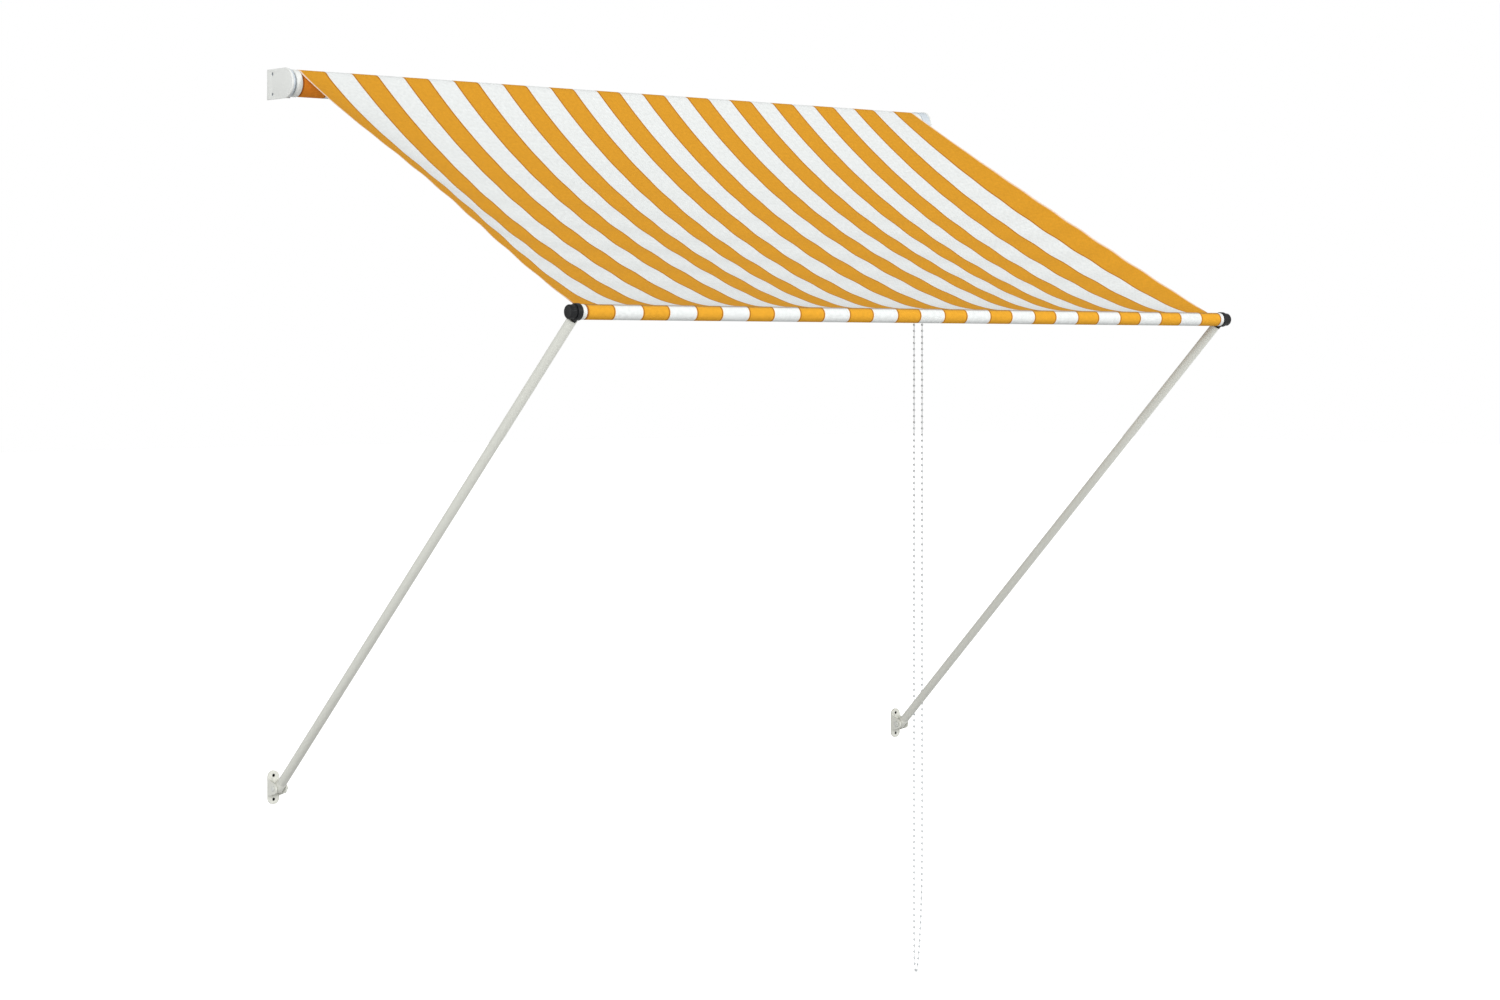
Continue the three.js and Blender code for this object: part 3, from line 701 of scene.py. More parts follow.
    @staticmethod
    def cross_recess(
        screw: bpy.types.Object, centre: Vector, axis: int, start: float, size: tuple[float, float, float]
    ) -> None:
        """Cuts a cross recess into a screw's head.

        Args:
            screw: The screw.
            centre: The middle of its head's face.
            axis: The number of the axis that the screw lies along.
            start: How far the first slot is turned.
            size: Each slot's size before it is turned.
        """
        for turn in (start, start + math.pi / 2):
            rotation = [0.0, 0.0, 0.0]
            rotation[axis] = turn
            Bench.deselect()
            bpy.ops.mesh.primitive_cube_add(size=1, location=centre, rotation=rotation, scale=size)
            Bench.combine(screw, Bench.named("recess_tool"), "DIFFERENCE")

    @staticmethod
    def from_points(
        name: str, points: Sequence[Vector], faces: Sequence[Sequence[int]]
    ) -> bpy.types.Object:
        """Makes a cord or a cloth from its points, turned outwards and shaded smooth.

        Args:
            name: The piece's name.
            points: Its points.
            faces: The numbers of each face's points.

        Returns:
            The piece.
        """
        mesh = bpy.data.meshes.new(name)
        mesh.from_pydata(points, [], faces)
        piece = bpy.data.objects.new(name, mesh)
        bpy.context.scene.collection.objects.link(piece)
        with Bench.editing(piece):
            bpy.ops.mesh.select_all(action="SELECT")
            bpy.ops.mesh.normals_make_consistent(inside=False)
        Bench.soften(piece, 0)
        return piece

    @staticmethod
    def dress(piece: bpy.types.Object, finish: Finish, body: Body, slot: str, nodes: Sequence[str] = ()) -> None:
        """Gives a finished piece its material, the body it rides on and the nodes it stands for.

        Args:
            piece: The finished piece.
            finish: Its surface.
            body: What it moves with.
            slot: The record's material slot; not used.
            nodes: The frame's nodes that it replaces.
        """
        piece.data.materials.clear()
        piece.data.materials.append(finish.material())
        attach(piece, body.value)
        if nodes:
            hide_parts(*nodes)
        LOG.info("%s: %d faces on %s", piece.name, len(piece.data.polygons), body.value)


@dataclass
class PhotoCamera:
    """The camera at the photograph's viewing angle, level, with the horizon above the frame's middle."""

    place: Vector = field(default_factory=lambda: Vector((-3.4817, -4.4994, -0.4574)))
    yaw: float = math.radians(40.33)
    focal_pixels: float = 3108.0
    frame_pixels: float = 1500.0
    horizon_above_middle: float = 142.4
    sensor: float = 36.0
    sight: float = 100.0

    def build(self) -> None:
        """Makes the camera and gives it to the scene."""
        lens = bpy.data.cameras.new("photo_camera")
        lens.sensor_width = self.sensor
        lens.lens = self.sensor * self.focal_pixels / self.frame_pixels
        lens.shift_y = -self.horizon_above_middle / self.frame_pixels
        lens.clip_end = self.sight
        camera = bpy.data.objects.new("photo_camera", lens)
        camera.location = self.place
        camera.rotation_euler = (math.pi / 2, 0, -self.yaw)
        bpy.context.scene.collection.objects.link(camera)
        bpy.context.scene.camera = camera


@dataclass
class BeadChain:
    """The endless operating chain: beads on a thin thread, hung over the drive's wheel."""

    plane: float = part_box("bead_chain")[0].x / 2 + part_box("bead_chain")[1].x / 2
    bead_radius: float = 2.4 * MM
    bead_sides: int = 8
    bead_rings: int = 6
    stock_diameter: float = 5 * MM
    thread_radius: float = 0.75 * MM
    pitch: float = 12 * MM
    pockets: int = 6
    step: float = 4 * MM
    fine_points: int = 4
    wrap_steps: int = 6
    wrap_end: float = math.radians(72)
    thread_sides: int = 6

    @property
    def wheel(self) -> float:
        """The radius that the beads take on the wheel."""
        return self.pockets * self.pitch / (2 * math.pi)

    def route(self) -> list[Vector]:
        """The chain's loop, as the frame's own chain hangs, with its ends laid over the wheel.

        Returns:
            Points from beside the wheel, down the wall side and up the room side.
        """
        out = -ROLLER_AXIS.y
        rear = out - self.wheel
        front = out + self.wheel
        hanging = [
            (rear, 0.0), (rear, 0.2), (rear, 0.5), (rear, 0.8), (rear, 1.1), (rear, 1.35), (rear, 1.5),
            (0.0432, 1.58), (0.0438, 1.63), (0.0454, 1.656), (0.0486, 1.668), (0.0522, 1.656),
            (0.056, 1.63), (0.0606, 1.58), (0.0648, 1.5), (front, 1.4), (front, 1.1), (front, 0.8),
            (front, 0.5), (front, 0.2), (front, 0.0),
        ]
        return [Vector((self.plane, -distance, -down)) for distance, down in hanging]

    def wrap(self, way: int) -> list[Vector]:
        """The turn over the wheel's top on one side, from the strand up.

        Args:
            way: 1 for the wall side, -1 for the room side.

        Returns:
            Points that leave the strand and climb the wheel.
        """
        points = []
        for i in range(1, self.wrap_steps + 1):
            angle = self.wrap_end * i / self.wrap_steps
            points.append(Vector((self.plane, ROLLER_AXIS.y + way * self.wheel * math.cos(angle),
                                  ROLLER_AXIS.z + self.wheel * math.sin(angle))))
        return points

    def smooth(self, points: Sequence[Vector]) -> list[Vector]:
        """Draws one smooth curve through points, evenly stepped by length.

        Args:
            points: What the curve goes through.

        Returns:
            The new points.
        """
        ends = [2 * points[0] - points[1], *points, 2 * points[-1] - points[-2]]
        fine = [points[0]]
        for before, start, end, after in zip(ends, ends[1:], ends[2:], ends[3:]):
            knots = [0.0]
            for a, b in ((before, start), (start, end), (end, after)):
                knots.append(knots[-1] + math.sqrt((b - a).length))
            pieces = max(self.fine_points, int((end - start).length / (self.step / self.fine_points)))
            for i in range(1, pieces + 1):
                t = knots[1] + (knots[2] - knots[1]) * i / pieces
                near = [before.lerp(start, (t - knots[0]) / (knots[1] - knots[0])),
                        start.lerp(end, (t - knots[1]) / (knots[2] - knots[1])),
                        end.lerp(after, (t - knots[2]) / (knots[3] - knots[2]))]
                mid = [near[0].lerp(near[1], (t - knots[0]) / (knots[2] - knots[0])),
                       near[1].lerp(near[2], (t - knots[1]) / (knots[3] - knots[1]))]
                fine.append(mid[0].lerp(mid[1], (t - knots[1]) / (knots[2] - knots[1])))
        return self.even(fine, self.step)

    @staticmethod
    def even(line: Sequence[Vector], step: float) -> list[Vector]:
        """Steps along a line of points at an even spacing that fits its length.

        Args:
            line: Close points.
            step: The wanted spacing.

        Returns:
            Evenly spaced points, with both ends.
        """
        lengths = [0.0]
        for a, b in zip(line, line[1:]):
            lengths.append(lengths[-1] + (b - a).length)
        count = round(lengths[-1] / step)
        even, i = [], 0
        for n in range(count + 1):
            want = lengths[-1] * n / count
            while i < len(line) - 2 and lengths[i + 1] < want:
                i += 1
            share = (want - lengths[i]) / max(lengths[i + 1] - lengths[i], MERGE_DISTANCE)
            even.append(line[i].lerp(line[i + 1], min(share, 1.0)))
        return even

    def bead(self) -> tuple[list[Vector], list[list[int]]]:
        """Models one bead.

        Returns:
            Its points about the origin and its faces.
        """
        Bench.deselect()
        bpy.ops.mesh.primitive_uv_sphere_add(segments=self.bead_sides, ring_count=self.bead_rings,
                                             radius=self.bead_radius)
        shape = Bench.named("bead_pattern")
        points = [vertex.co.copy() for vertex in shape.data.vertices]
        faces = [list(face.vertices) for face in shape.data.polygons]
        bpy.data.objects.remove(shape)
        return points, faces

    def build(self) -> None:
        hanging = self.smooth(self.route())
        line = [*reversed(self.wrap(1)), *hanging, *self.wrap(-1)]
        points: list[Vector] = []
        faces: list[list[int]] = []
        sides = self.thread_sides
        for i, here in enumerate(line):
            tangent = (line[min(i + 1, len(line) - 1)] - line[max(i - 1, 0)]).normalized()
            across = tangent.cross(Vector((1, 0, 0))).normalized()
            for n in range(sides):
                turn = 2 * math.pi * n / sides
                points.append(here + self.thread_radius * (math.cos(turn) * across
                                                           + math.sin(turn) * Vector((1, 0, 0))))
        for i in range(len(line) - 1):
            for n in range(sides):
                a, b = i * sides + n, i * sides + (n + 1) % sides
                faces.append([a, b, b + sides, a + sides])
        faces.append(list(range(sides))[::-1])
        faces.append([(len(line) - 1) * sides + n for n in range(sides)])
        shape, sheets = self.bead()
        for centre in self.even(line, self.pitch)[:-1]:
            first = len(points)
            points.extend(centre + offset for offset in shape)
            faces.extend([first + n for n in sheet] for sheet in sheets)
        chain = Bench.from_points("operating_chain", points, faces)
        Bench.dress(chain, BEAD_PLASTIC, Body.WALL, "white_plastic", ["bead_chain"])
        length = sum((b - a).length for a, b in zip(line, line[1:]))
        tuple(line[0])


@dataclass
class Cloth:
    """The striped cloth: canopy, the turns left on the roller, and the pocket round the bar."""

    thickness: float = 0.7 * MM
    clearance: float = 0.5 * MM
    map_inset: float = 0.9 * MM
    columns: int = 4 * STRIPE_COUNT
    rows: int = 90
    wrap_rows: int = 10
    wrap_back: float = math.radians(-70)
    pocket_rows: int = 6
    seam_reach: float = 19 * MM
    seam_inset: float = 70 * MM
    seam_drop: float = 0.85
    sag_edge: float = 4.5 * MM
    sag_near: float = 38.2 * MM
    sag_near_rise: float = 70 * MM
    sag_far: float = 17.2 * MM
    sag_far_rise: float = 280 * MM
    wave: float = 3.5 * MM
    wave_stripes: float = 10.34
    wave_crest: float = 7.04
    wave_inset: float = 120 * MM
    wave_skew: float = 2.9
    fold_left: float = 8.4 * MM
    fold_right: float = 0.5 * MM
    fold_inset: float = 35 * MM
    fold_width: float = 35 * MM
    lip: float = 7.4 * MM
    lip_reach: float = 0.091
    lip_inset: float = 45 * MM
    crease: float = 0.8 * MM
    crease_spacing: float = 0.1
    crease_at: float = 0.78
    crease_skew: float = 1.8
    crease_drift: tuple[tuple[float, float], ...] = ((0.8, 2.3), (0.5, 0.9))
    wound_wall: float = 2 * MM
    wound_seam: float = math.radians(135)
    pocket_wall: float = 0.8 * MM
    # Where the pocket's band of painted shade lies, as an angle from -Y over the top.
    pocket_shade_angle: float = math.radians(72)
    sleeve_edge: float = 0.3 * MM
    sleeve_hollow: float = 4 * MM

    @property
    def chord(self) -> Vector:
        """The straight way from the roller's axis to the bar's."""
        return BAR_AXIS - ROLLER_AXIS

    @property
    def chord_slope(self) -> float:
        """How steeply the cloth would fall if it hung straight."""
        return math.atan2(-self.chord.z, -self.chord.y)

    @staticmethod
    def inset(across: float) -> float:
        """How far a place across the cloth lies from the nearer edge."""
        return max(0.0, min(across, 2 * CLOTH_EDGE - across))

    def sag(self, across: float) -> float:
        """How deep the belly hangs at a place across the cloth.

        Args:
            across: The distance from the left edge.

        Returns:
            The depth at mid length.
        """
        inset = self.inset(across)
        near = self.sag_near * (1 - math.exp(-inset / self.sag_near_rise))
        far = self.sag_far * (1 - math.exp(-inset / self.sag_far_rise))
        return self.sag_edge + near + far

    def dip(self, across: float) -> float:
        """How deep the cloth dips just behind the bar, where its stretched edges don't."""
        return self.lip * (1 - math.exp(-self.inset(across) / self.lip_inset))

    def lift(self, across: float) -> float:
        """The angle at which the seam lies above the cloth's way to the bar's axis, least at the edges."""
        drop = self.seam_drop * math.exp(-self.inset(across) / self.seam_inset)
        return math.asin(HEM_RADIUS / self.seam_reach) * (1 - drop)

    def ripple(self, across: float, v: float) -> float:
        """How far the waves, the folds beside the edges, the creases and the dip at the bar lift the cloth.

        Args:
            across: The distance from the left edge.
            v: The place from the roller, 0, to the bar's seam, 1.

        Returns:
            The lift.
        """
        stripe = across / STRIPE_WIDTH
        inset = self.inset(across)
        inner = 1 - math.exp(-((inset / self.wave_inset) ** 2))
        broad = self.wave * math.cos(2 * math.pi * (stripe - self.wave_crest) / self.wave_stripes)
        broad *= math.sin(math.pi * v ** self.wave_skew) * inner
        height = self.fold_left if across < CLOTH_EDGE else self.fold_right
        beside = math.exp(-(((inset - self.fold_inset) / self.fold_width) ** 2) / 2)
        held = math.sqrt(max(0.0, math.sin(math.pi * v)))
        drift = sum(turn * math.sin(stripe / period) for turn, period in self.crease_drift)
        fine = self.crease * math.cos(2 * math.pi * (v - self.crease_at) / self.crease_spacing + drift)
        fine *= math.sin(math.pi * v ** self.crease_skew)
        behind = (1 - v) / self.lip_reach
        dip = self.dip(across) * behind * math.exp(1 - behind)
        return broad + fine - dip - height * beside * held * math.cos(2 * math.pi * v)

    def column(self, across: float) -> list[tuple[Vector, float]]:
        """One line of the cloth from behind the roller, over it, down to the seam and into the pocket.

        Args:
            across: The distance from the left edge.

        Returns:
            Each point with the cloth's thickness there.
        """
        x = across - CLOTH_EDGE
        sag = self.sag(across)
        bend = 4 * sag / self.chord.length
        leave = self.chord_slope + math.atan(bend)
        dip = math.e * self.dip(across) / self.lip_reach / self.chord.length
        arrive = self.chord_slope - math.atan(bend + dip)
        radius = WOUND_RADIUS + self.clearance
        line = []
        for i in range(self.wrap_rows):
            angle = self.wrap_back + (leave - self.wrap_back) * i / self.wrap_rows
            line.append((Vector((x, ROLLER_AXIS.y - radius * math.sin(angle),
                                 ROLLER_AXIS.z + radius * math.cos(angle))), self.thickness))
        start = Vector((x, ROLLER_AXIS.y - radius * math.sin(leave), ROLLER_AXIS.z + radius * math.cos(leave)))
        seam = arrive + self.lift(across)
        towards = Vector((0, math.cos(seam), math.sin(seam)))
        axis = Vector((x, BAR_AXIS.y, BAR_AXIS.z))
        end = axis + towards * self.seam_reach
        up = (end - start).cross(Vector((1, 0, 0))).normalized()
        if up.z < 0:
            up = -up
        for i in range(self.rows + 1):
            v = i / self.rows
            drop = 4 * v * (1 - v) * sag - self.ripple(across, v)
            line.append((start.lerp(end, v) - up * drop, self.thickness))
        touch = math.acos(HEM_RADIUS / self.seam_reach)
        last = HEM_RADIUS * math.cos(touch)
        wide = 2 * HEM_RADIUS * math.sin(touch)
        for i in range(1, self.pocket_rows + 1):
            share = i / self.pocket_rows
            reach = self.seam_reach + (last - self.seam_reach) * share
            line.append((axis + towards * reach, 2 * self.thickness + (wide - 2 * self.thickness) * share))
        return line

    def canopy(self) -> None:
        lines = [self.column(2 * CLOTH_EDGE * i / self.columns) for i in range(self.columns + 1)]
        count = len(lines[0])
        top: list[Vector] = []
        under: list[Vector] = []
        for line in lines:
            for j, (point, thickness) in enumerate(line):
                ahead = line[min(j + 1, count - 1)][0] - line[max(j - 1, 0)][0]
                normal = ahead.cross(Vector((1, 0, 0))).normalized()
                top.append(point + normal * thickness / 2)
                under.append(point - normal * thickness / 2)
        below = len(top)
        faces = []
        for i in range(self.columns):
            for j in range(count - 1):
                a, b = i * count + j, (i + 1) * count + j
                faces.append([a, b, b + 1, a + 1])
                faces.append([below + a, below + a + 1, below + b + 1, below + b])
        for j in range(count - 1):
            for a in (j, self.columns * count + j):
                faces.append([a, a + 1, below + a + 1, below + a])
        for i in range(self.columns):
            for j in (0, count - 1):
                a, b = i * count + j, (i + 1) * count + j
                faces.append([a, b, below + b, below + a])
        sheet = Bench.from_points("canopy_cloth", top + under, faces)
        lengths = self.lengths(lines)
        layer = sheet.data.uv_layers.new(name="cloth")
        for loop in sheet.data.loops:
            i, j = divmod(loop.vertex_index % below, count)
            from_seam = lengths[i][j] - lengths[i][self.wrap_rows + self.rows]
            across = 2 * CLOTH_EDGE * i / self.columns
            inside = max(self.map_inset, min(across, 2 * CLOTH_EDGE - self.map_inset))
            layer.data[loop.index].uv = (inside, from_seam)
        sheet.data.materials.append(CANVAS.material())
        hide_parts("canopy")
        middle = [point for point, _ in lines[self.columns // 2]]
        cut = lengths[self.columns // 2][-1]
        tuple(middle[self.wrap_rows])
        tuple(middle[-1])
        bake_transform(sheet)
        LOG.info("%s: %d faces, cut %.3f m long", sheet.name, len(sheet.data.polygons), cut)

    @staticmethod
    def lengths(lines: Sequence[Sequence[tuple[Vector, float]]]) -> list[list[float]]:
        """Measures each line of the cloth from its start.

        Args:
            lines: The cloth's lines of points.

        Returns:
            The distance along its line of each point.
        """
        measured = []
        for line in lines:
            run = [0.0]
            for (a, _), (b, _) in zip(line, line[1:]):
                run.append(run[-1] + (b - a).length)
            measured.append(run)
        return measured

    def sleeve(
        self, name: str, axis: Vector, radius: float, wall: float, seam: float = 0.0
    ) -> bpy.types.Object:
        """Makes a tube of cloth along X, with turned-in ends, and maps the stripes on it.

        Args:
            name: The piece's name.
            axis: A point of the tube's axis.
            radius: Its outer radius.
            wall: How thick its visible end is.
            seam: The angle from -Y over the top of its sewn line; on the bar's pocket, a band of painted shade.

        Returns:
            The sleeve.
        """
        edge = self.sleeve_edge
        out, into = CLOTH_EDGE, CLOTH_EDGE - self.sleeve_hollow
        sleeve = Bench.turned(name, axis, [
            (-into, radius - wall), (-out, radius - wall), (-out, radius - edge), (-out + edge, radius),
            (out - edge, radius), (out, radius - edge), (out, radius - wall), (into, radius - wall)])
        layer = sleeve.data.uv_layers.get("UVMap") or sleeve.data.uv_layers.new(name="cloth")
        layer.name = "cloth"
        for loop in sleeve.data.loops:
            at = sleeve.data.vertices[loop.vertex_index].co - axis
            layer.data[loop.index].uv = (at.x + CLOTH_EDGE, (math.atan2(at.z, -at.y) - seam) * radius)
        Bench.soften(sleeve, 0)
        return sleeve

    def build(self) -> None:
        """Builds and dresses the three pieces of cloth."""
        turns = self.sleeve("turns_on_roller", ROLLER_AXIS, WOUND_RADIUS, self.wound_wall, self.wound_seam)
        # The roller's turns take a canvas copy painted redder, with painted shade at its ends.
        Bench.dress(turns, PAINTED_SHADE_WOUND_CANVAS, Body.ROLLER, "striped_cloth", ["wound_fabric"])
        pocket = self.sleeve("bar_pocket", BAR_AXIS, HEM_RADIUS, self.pocket_wall, self.pocket_shade_angle)
        # The bar's pocket takes a canvas copy painted brighter, with painted shade on top and at its ends.
        Bench.dress(pocket, PAINTED_LIGHT_POCKET_CANVAS, Body.BAR, "striped_cloth", ["bar_hem"])
        self.canopy()


@dataclass
class RollerEnd:
    """One end of the roller: the plug's flange, the cover over the bracket's cheek, and its screws.

    A rim is a list of edges, each so far behind the flange's face and so far inside its radius. A pan is
    one too, with each edge's share of the screw head's radius.
    """

    side: Side
    edge: float = 0.8 * MM
    seat_depth: float = 1.7 * MM
    seat_gap: float = 0.3 * MM
    seat_flare: float = 0.6 * MM
    seat_proud: float = 1 * MM
    shank: float = 1.5 * MM
    shank_tip: float = 1.2 * MM
    shank_lead: float = 0.5 * MM
    pan_height: float = 1.4 * MM
    pan: Edges = ((0.5 * MM, 1.0), (0.1 * MM, 0.62), (0.0, 0.3))
    slot_length: float = 1.3
    slot_width: float = 0.55 * MM
    slot_depth: float = 1.6 * MM
    slot_turn: float = 0.4
    gap: float = 0.3 * MM
    idler_width: float = 11 * MM
    idler_rim: Edges = ((2.4 * MM, 0.0), (0.5 * MM, 1.1 * MM), (0.0, 2.2 * MM))
    drive_width: float = 14.5 * MM
    drive_rim: Edges = ((0.3 * MM, 0.0), (0.0, 0.3 * MM))
    plug_bore: float = 16 * MM
    plug_radius: float = 18.1 * MM
    sleeve_radius: float = 8 * MM
    axle_bore: float = 5.5 * MM
    axle_bore_depth: float = 4 * MM
    bush_bore: float = 5.4 * MM
    bush_waist: float = 1.6 * MM

    @property
    def rim_width(self) -> float:
        """How far the flange's rim reaches; the drive's own runs on up to the chain guard."""
        return self.idler_width if self.side is Side.LEFT else self.drive_width

    def build(self) -> None:
        """Builds and dresses this end's pieces."""
        self.cover()
        self.screws()
        if self.side is Side.LEFT:
            self.flange("idler_plug", "idler_flange")
            self.bush()
        else:
            self.flange("drive_plug", "drive_flange")

    def cover(self) -> None:
        """Moulds the cover: straight at the wall, round about the roller's axis, with sunk screw seats."""
        node = f"{self.side.word}_bracket_cover"
        radius = half_height(node)
        cover = Bench.eye_plate(f"{self.side.word}_cover", ROLLER_AXIS, radius, 0.0, -ROLLER_AXIS.y, radius,
                                self.side.span(node))
        for place in ("upper", "lower"):
            screw = f"{self.side.word}_cover_screw_{place}"
            outer = self.side.span(node)[1]
            deep = outer - self.side.value * self.seat_depth
            proud = outer + self.side.value * self.seat_proud
            seat = half_height(screw) + self.seat_gap
            tool = Bench.turned("seat_tool", sum(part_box(screw), Vector()) / 2,
                                [(deep, seat), (proud, seat + self.seat_flare)], SMALL_SIDES)
            Bench.combine(cover, tool, "DIFFERENCE")
        Bench.soften(cover, self.edge, 3)
        Bench.dress(cover, WHITE_ABS, Body.WALL, "white_plastic", [node])

    def screws(self) -> None:
        """Turns the two pan-head screws and cuts their cross recesses."""
        for place in ("upper", "lower"):
            node = f"{self.side.word}_cover_screw_{place}"
            centre = sum(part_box(node), Vector()) / 2
            inner, outer = self.side.span(node)
            head = half_height(node)
            way = self.side.value
            under = outer - way * self.pan_height
            screw = Bench.turned(f"{self.side.word}_screw_{place}", centre, [
                (inner, self.shank_tip), (inner + way * self.shank_lead, self.shank),
                (under, self.shank), (under, head),
                *((outer - way * behind, share * head) for behind, share in self.pan)], SMALL_SIDES)
            Bench.cross_recess(screw, Vector((outer, centre.y, centre.z)), 0, self.slot_turn,
                               (self.slot_depth, self.slot_width, self.slot_length * head))
            Bench.soften(screw, 0)
            Bench.dress(screw, ZINC, Body.WALL, "zinc_steel", [node])

    def flange(self, node: str, name: str) -> None:
        """Moulds the flange that keeps the cloth on the roller.

        Args:
            node: The frame's plug.
            name: The piece's name.
        """
        radius = half_height(node)
        inner, outer = self.side.span(node)
        way = self.side.value
        rim = self.side.at(self.gap)
        rim_end = self.side.at(self.rim_width)
        profile = [(inner, self.plug_bore), (inner, self.plug_radius), (rim, self.plug_radius),
                   (rim, radius - self.edge), (rim + way * self.edge, radius)]
        if self.side is Side.LEFT:
            end = rim_end
            profile += [(rim_end - way * behind, radius - inset) for behind, inset in self.idler_rim]
        else:
            end = outer
            profile += [(rim_end - way * behind, radius - inset) for behind, inset in self.drive_rim]
            profile += [(rim_end, self.sleeve_radius), (end, self.sleeve_radius)]
        profile += [(end, self.axle_bore), (end - way * self.axle_bore_depth, self.bush_bore)]
        plug = Bench.turned(name, ROLLER_AXIS, profile, FINE_SIDES)
        Bench.soften(plug, 0)
        Bench.dress(plug, WHITE_ABS, Body.ROLLER, "white_plastic", [node])

    def bush(self) -> None:
        """Turns the grey bush between the flange and the cheek, waisted in the middle."""
        radius = half_height("axle_bush")
        inner, outer = self.side.span("axle_bush")
        waist = (inner + outer) / 2
        bush = Bench.turned("waisted_bush", ROLLER_AXIS, [
            (inner, self.bush_bore), (inner, radius - self.edge), (inner - self.edge, radius),
            (waist, radius - self.bush_waist), (outer + self.edge, radius), (outer, radius - self.edge),
            (outer, self.bush_bore)], FINE_SIDES)
        Bench.soften(bush, 0)
        Bench.dress(bush, GREY_ACETAL, Body.WALL, "grey_plastic", ["axle_bush"])


@dataclass
class BarEnd:
    """One end of the front bar: the white collar with its pin, and the black knob on the pin.

    The knob's crown is a list of edges, each so far behind its face and so far inside its radius.
    """

    side: Side
    gap: float = 0.3 * MM
    edge: float = 0.6 * MM
    collar_end: float = 8 * MM
    plug_depth: float = 25 * MM
    plug_radius: float = 8.9 * MM
    plug_taper: float = 0.9 * MM
    plug_lead: float = 1 * MM
    pin_radius: float = 6 * MM
    knob_bore: float = 6.2 * MM
    knob_bore_depth: float = 6 * MM
    knob_edge: float = 0.15 * MM
    knob_lead: float = 0.8 * MM
    knob_taper: float = 0.9 * MM
    knob_dish: float = 0.7 * MM
    knob_middle: float = 1.2 * MM
    knob_crown: Edges = (
        (1.8 * MM, 0.0), (0.5 * MM, 0.7 * MM), (0.0, 1.9 * MM), (0.0, 2.6 * MM), (knob_dish, 3.3 * MM))
    rubbed_inset: float = 2.4 * MM
    rubbed_start: float = 7 * MM
    flutes: int = 16
    flute_spacing: int = 3
    flute_tolerance: float = 0.2 * MM
    flute_inset: float = 0.25 * MM
    flute_depth: float = 0.55 * MM

    def build(self) -> None:
        """Builds and dresses this end's pieces."""
        self.collar()
        self.knob()

    def collar(self) -> None:
        """Moulds the collar and its pin."""
        node = f"{self.side.word}_bar_plug"
        tip = self.side.span(node)[1]
        at = self.side.at
        collar = Bench.turned(f"{self.side.word}_collar", BAR_AXIS, [
            (at(-self.plug_depth), self.plug_radius - self.plug_taper),
            (at(self.plug_lead - self.plug_depth), self.plug_radius), (at(self.gap), self.plug_radius),
            (at(self.gap), HEM_RADIUS - self.edge), (at(self.gap + self.edge), HEM_RADIUS),
            (at(self.collar_end - self.edge), HEM_RADIUS), (at(self.collar_end), HEM_RADIUS - self.edge),
            (at(self.collar_end), self.pin_radius),
            (tip - self.side.value * self.edge, self.pin_radius),
            (tip, self.pin_radius - self.edge)], FINE_SIDES)
        Bench.soften(collar, 0)
        Bench.dress(collar, WHITE_ABS, Body.BAR, "white_plastic", [node])

    def knob(self) -> None:
        """Moulds the knob, flutes its rim and dishes its face."""
        node = f"{self.side.word}_end_knob"
        radius = half_height(node)
        inner, outer = self.side.span(node)
        way = self.side.value
        sides = self.flute_spacing * self.flutes
        knob = Bench.turned(f"{self.side.word}_knob", BAR_AXIS, [
            (inner + way * self.knob_bore_depth, self.knob_bore), (inner, self.knob_bore),
            (inner, radius - self.knob_taper), (inner + way * self.knob_lead, radius),
            *((outer - way * behind, radius - inset) for behind, inset in self.knob_crown),
            (outer - way * self.knob_dish, self.knob_middle)], sides)
        with Bench.editing(knob):
            def in_flute(at: Vector) -> bool:
                """Picks the rim's faces at the flutes' places.

                Args:
                    at: A face's middle.

                Returns:
                    True for a face that is sunk.
                """
                turn = math.atan2(at.z - BAR_AXIS.z, at.y - BAR_AXIS.y) % (2 * math.pi)
                off = math.hypot(at.y - BAR_AXIS.y, at.z - BAR_AXIS.z)
                on_rim = abs(off - radius) < self.flute_tolerance
                return on_rim and int(turn / (2 * math.pi) * sides) % self.flute_spacing == 0
            Bench.pick(knob, in_flute, Element.FACES)
            bpy.ops.mesh.inset(thickness=self.flute_inset, depth=-self.flute_depth, use_individual=True)
        Bench.soften(knob, self.knob_edge, 1)
        Bench.dress(knob, BLACK_NYLON, Body.BAR, "black_plastic", [node])
        knob.data.materials.append(RUBBED_NYLON.material())
        rubbed = radius - self.rubbed_inset
        for face in knob.data.polygons:
            off = math.hypot(face.center.y - BAR_AXIS.y, face.center.z - BAR_AXIS.z)
            if off < rubbed and way * (face.center.x - inner) > self.rubbed_start:
                face.material_index = 1


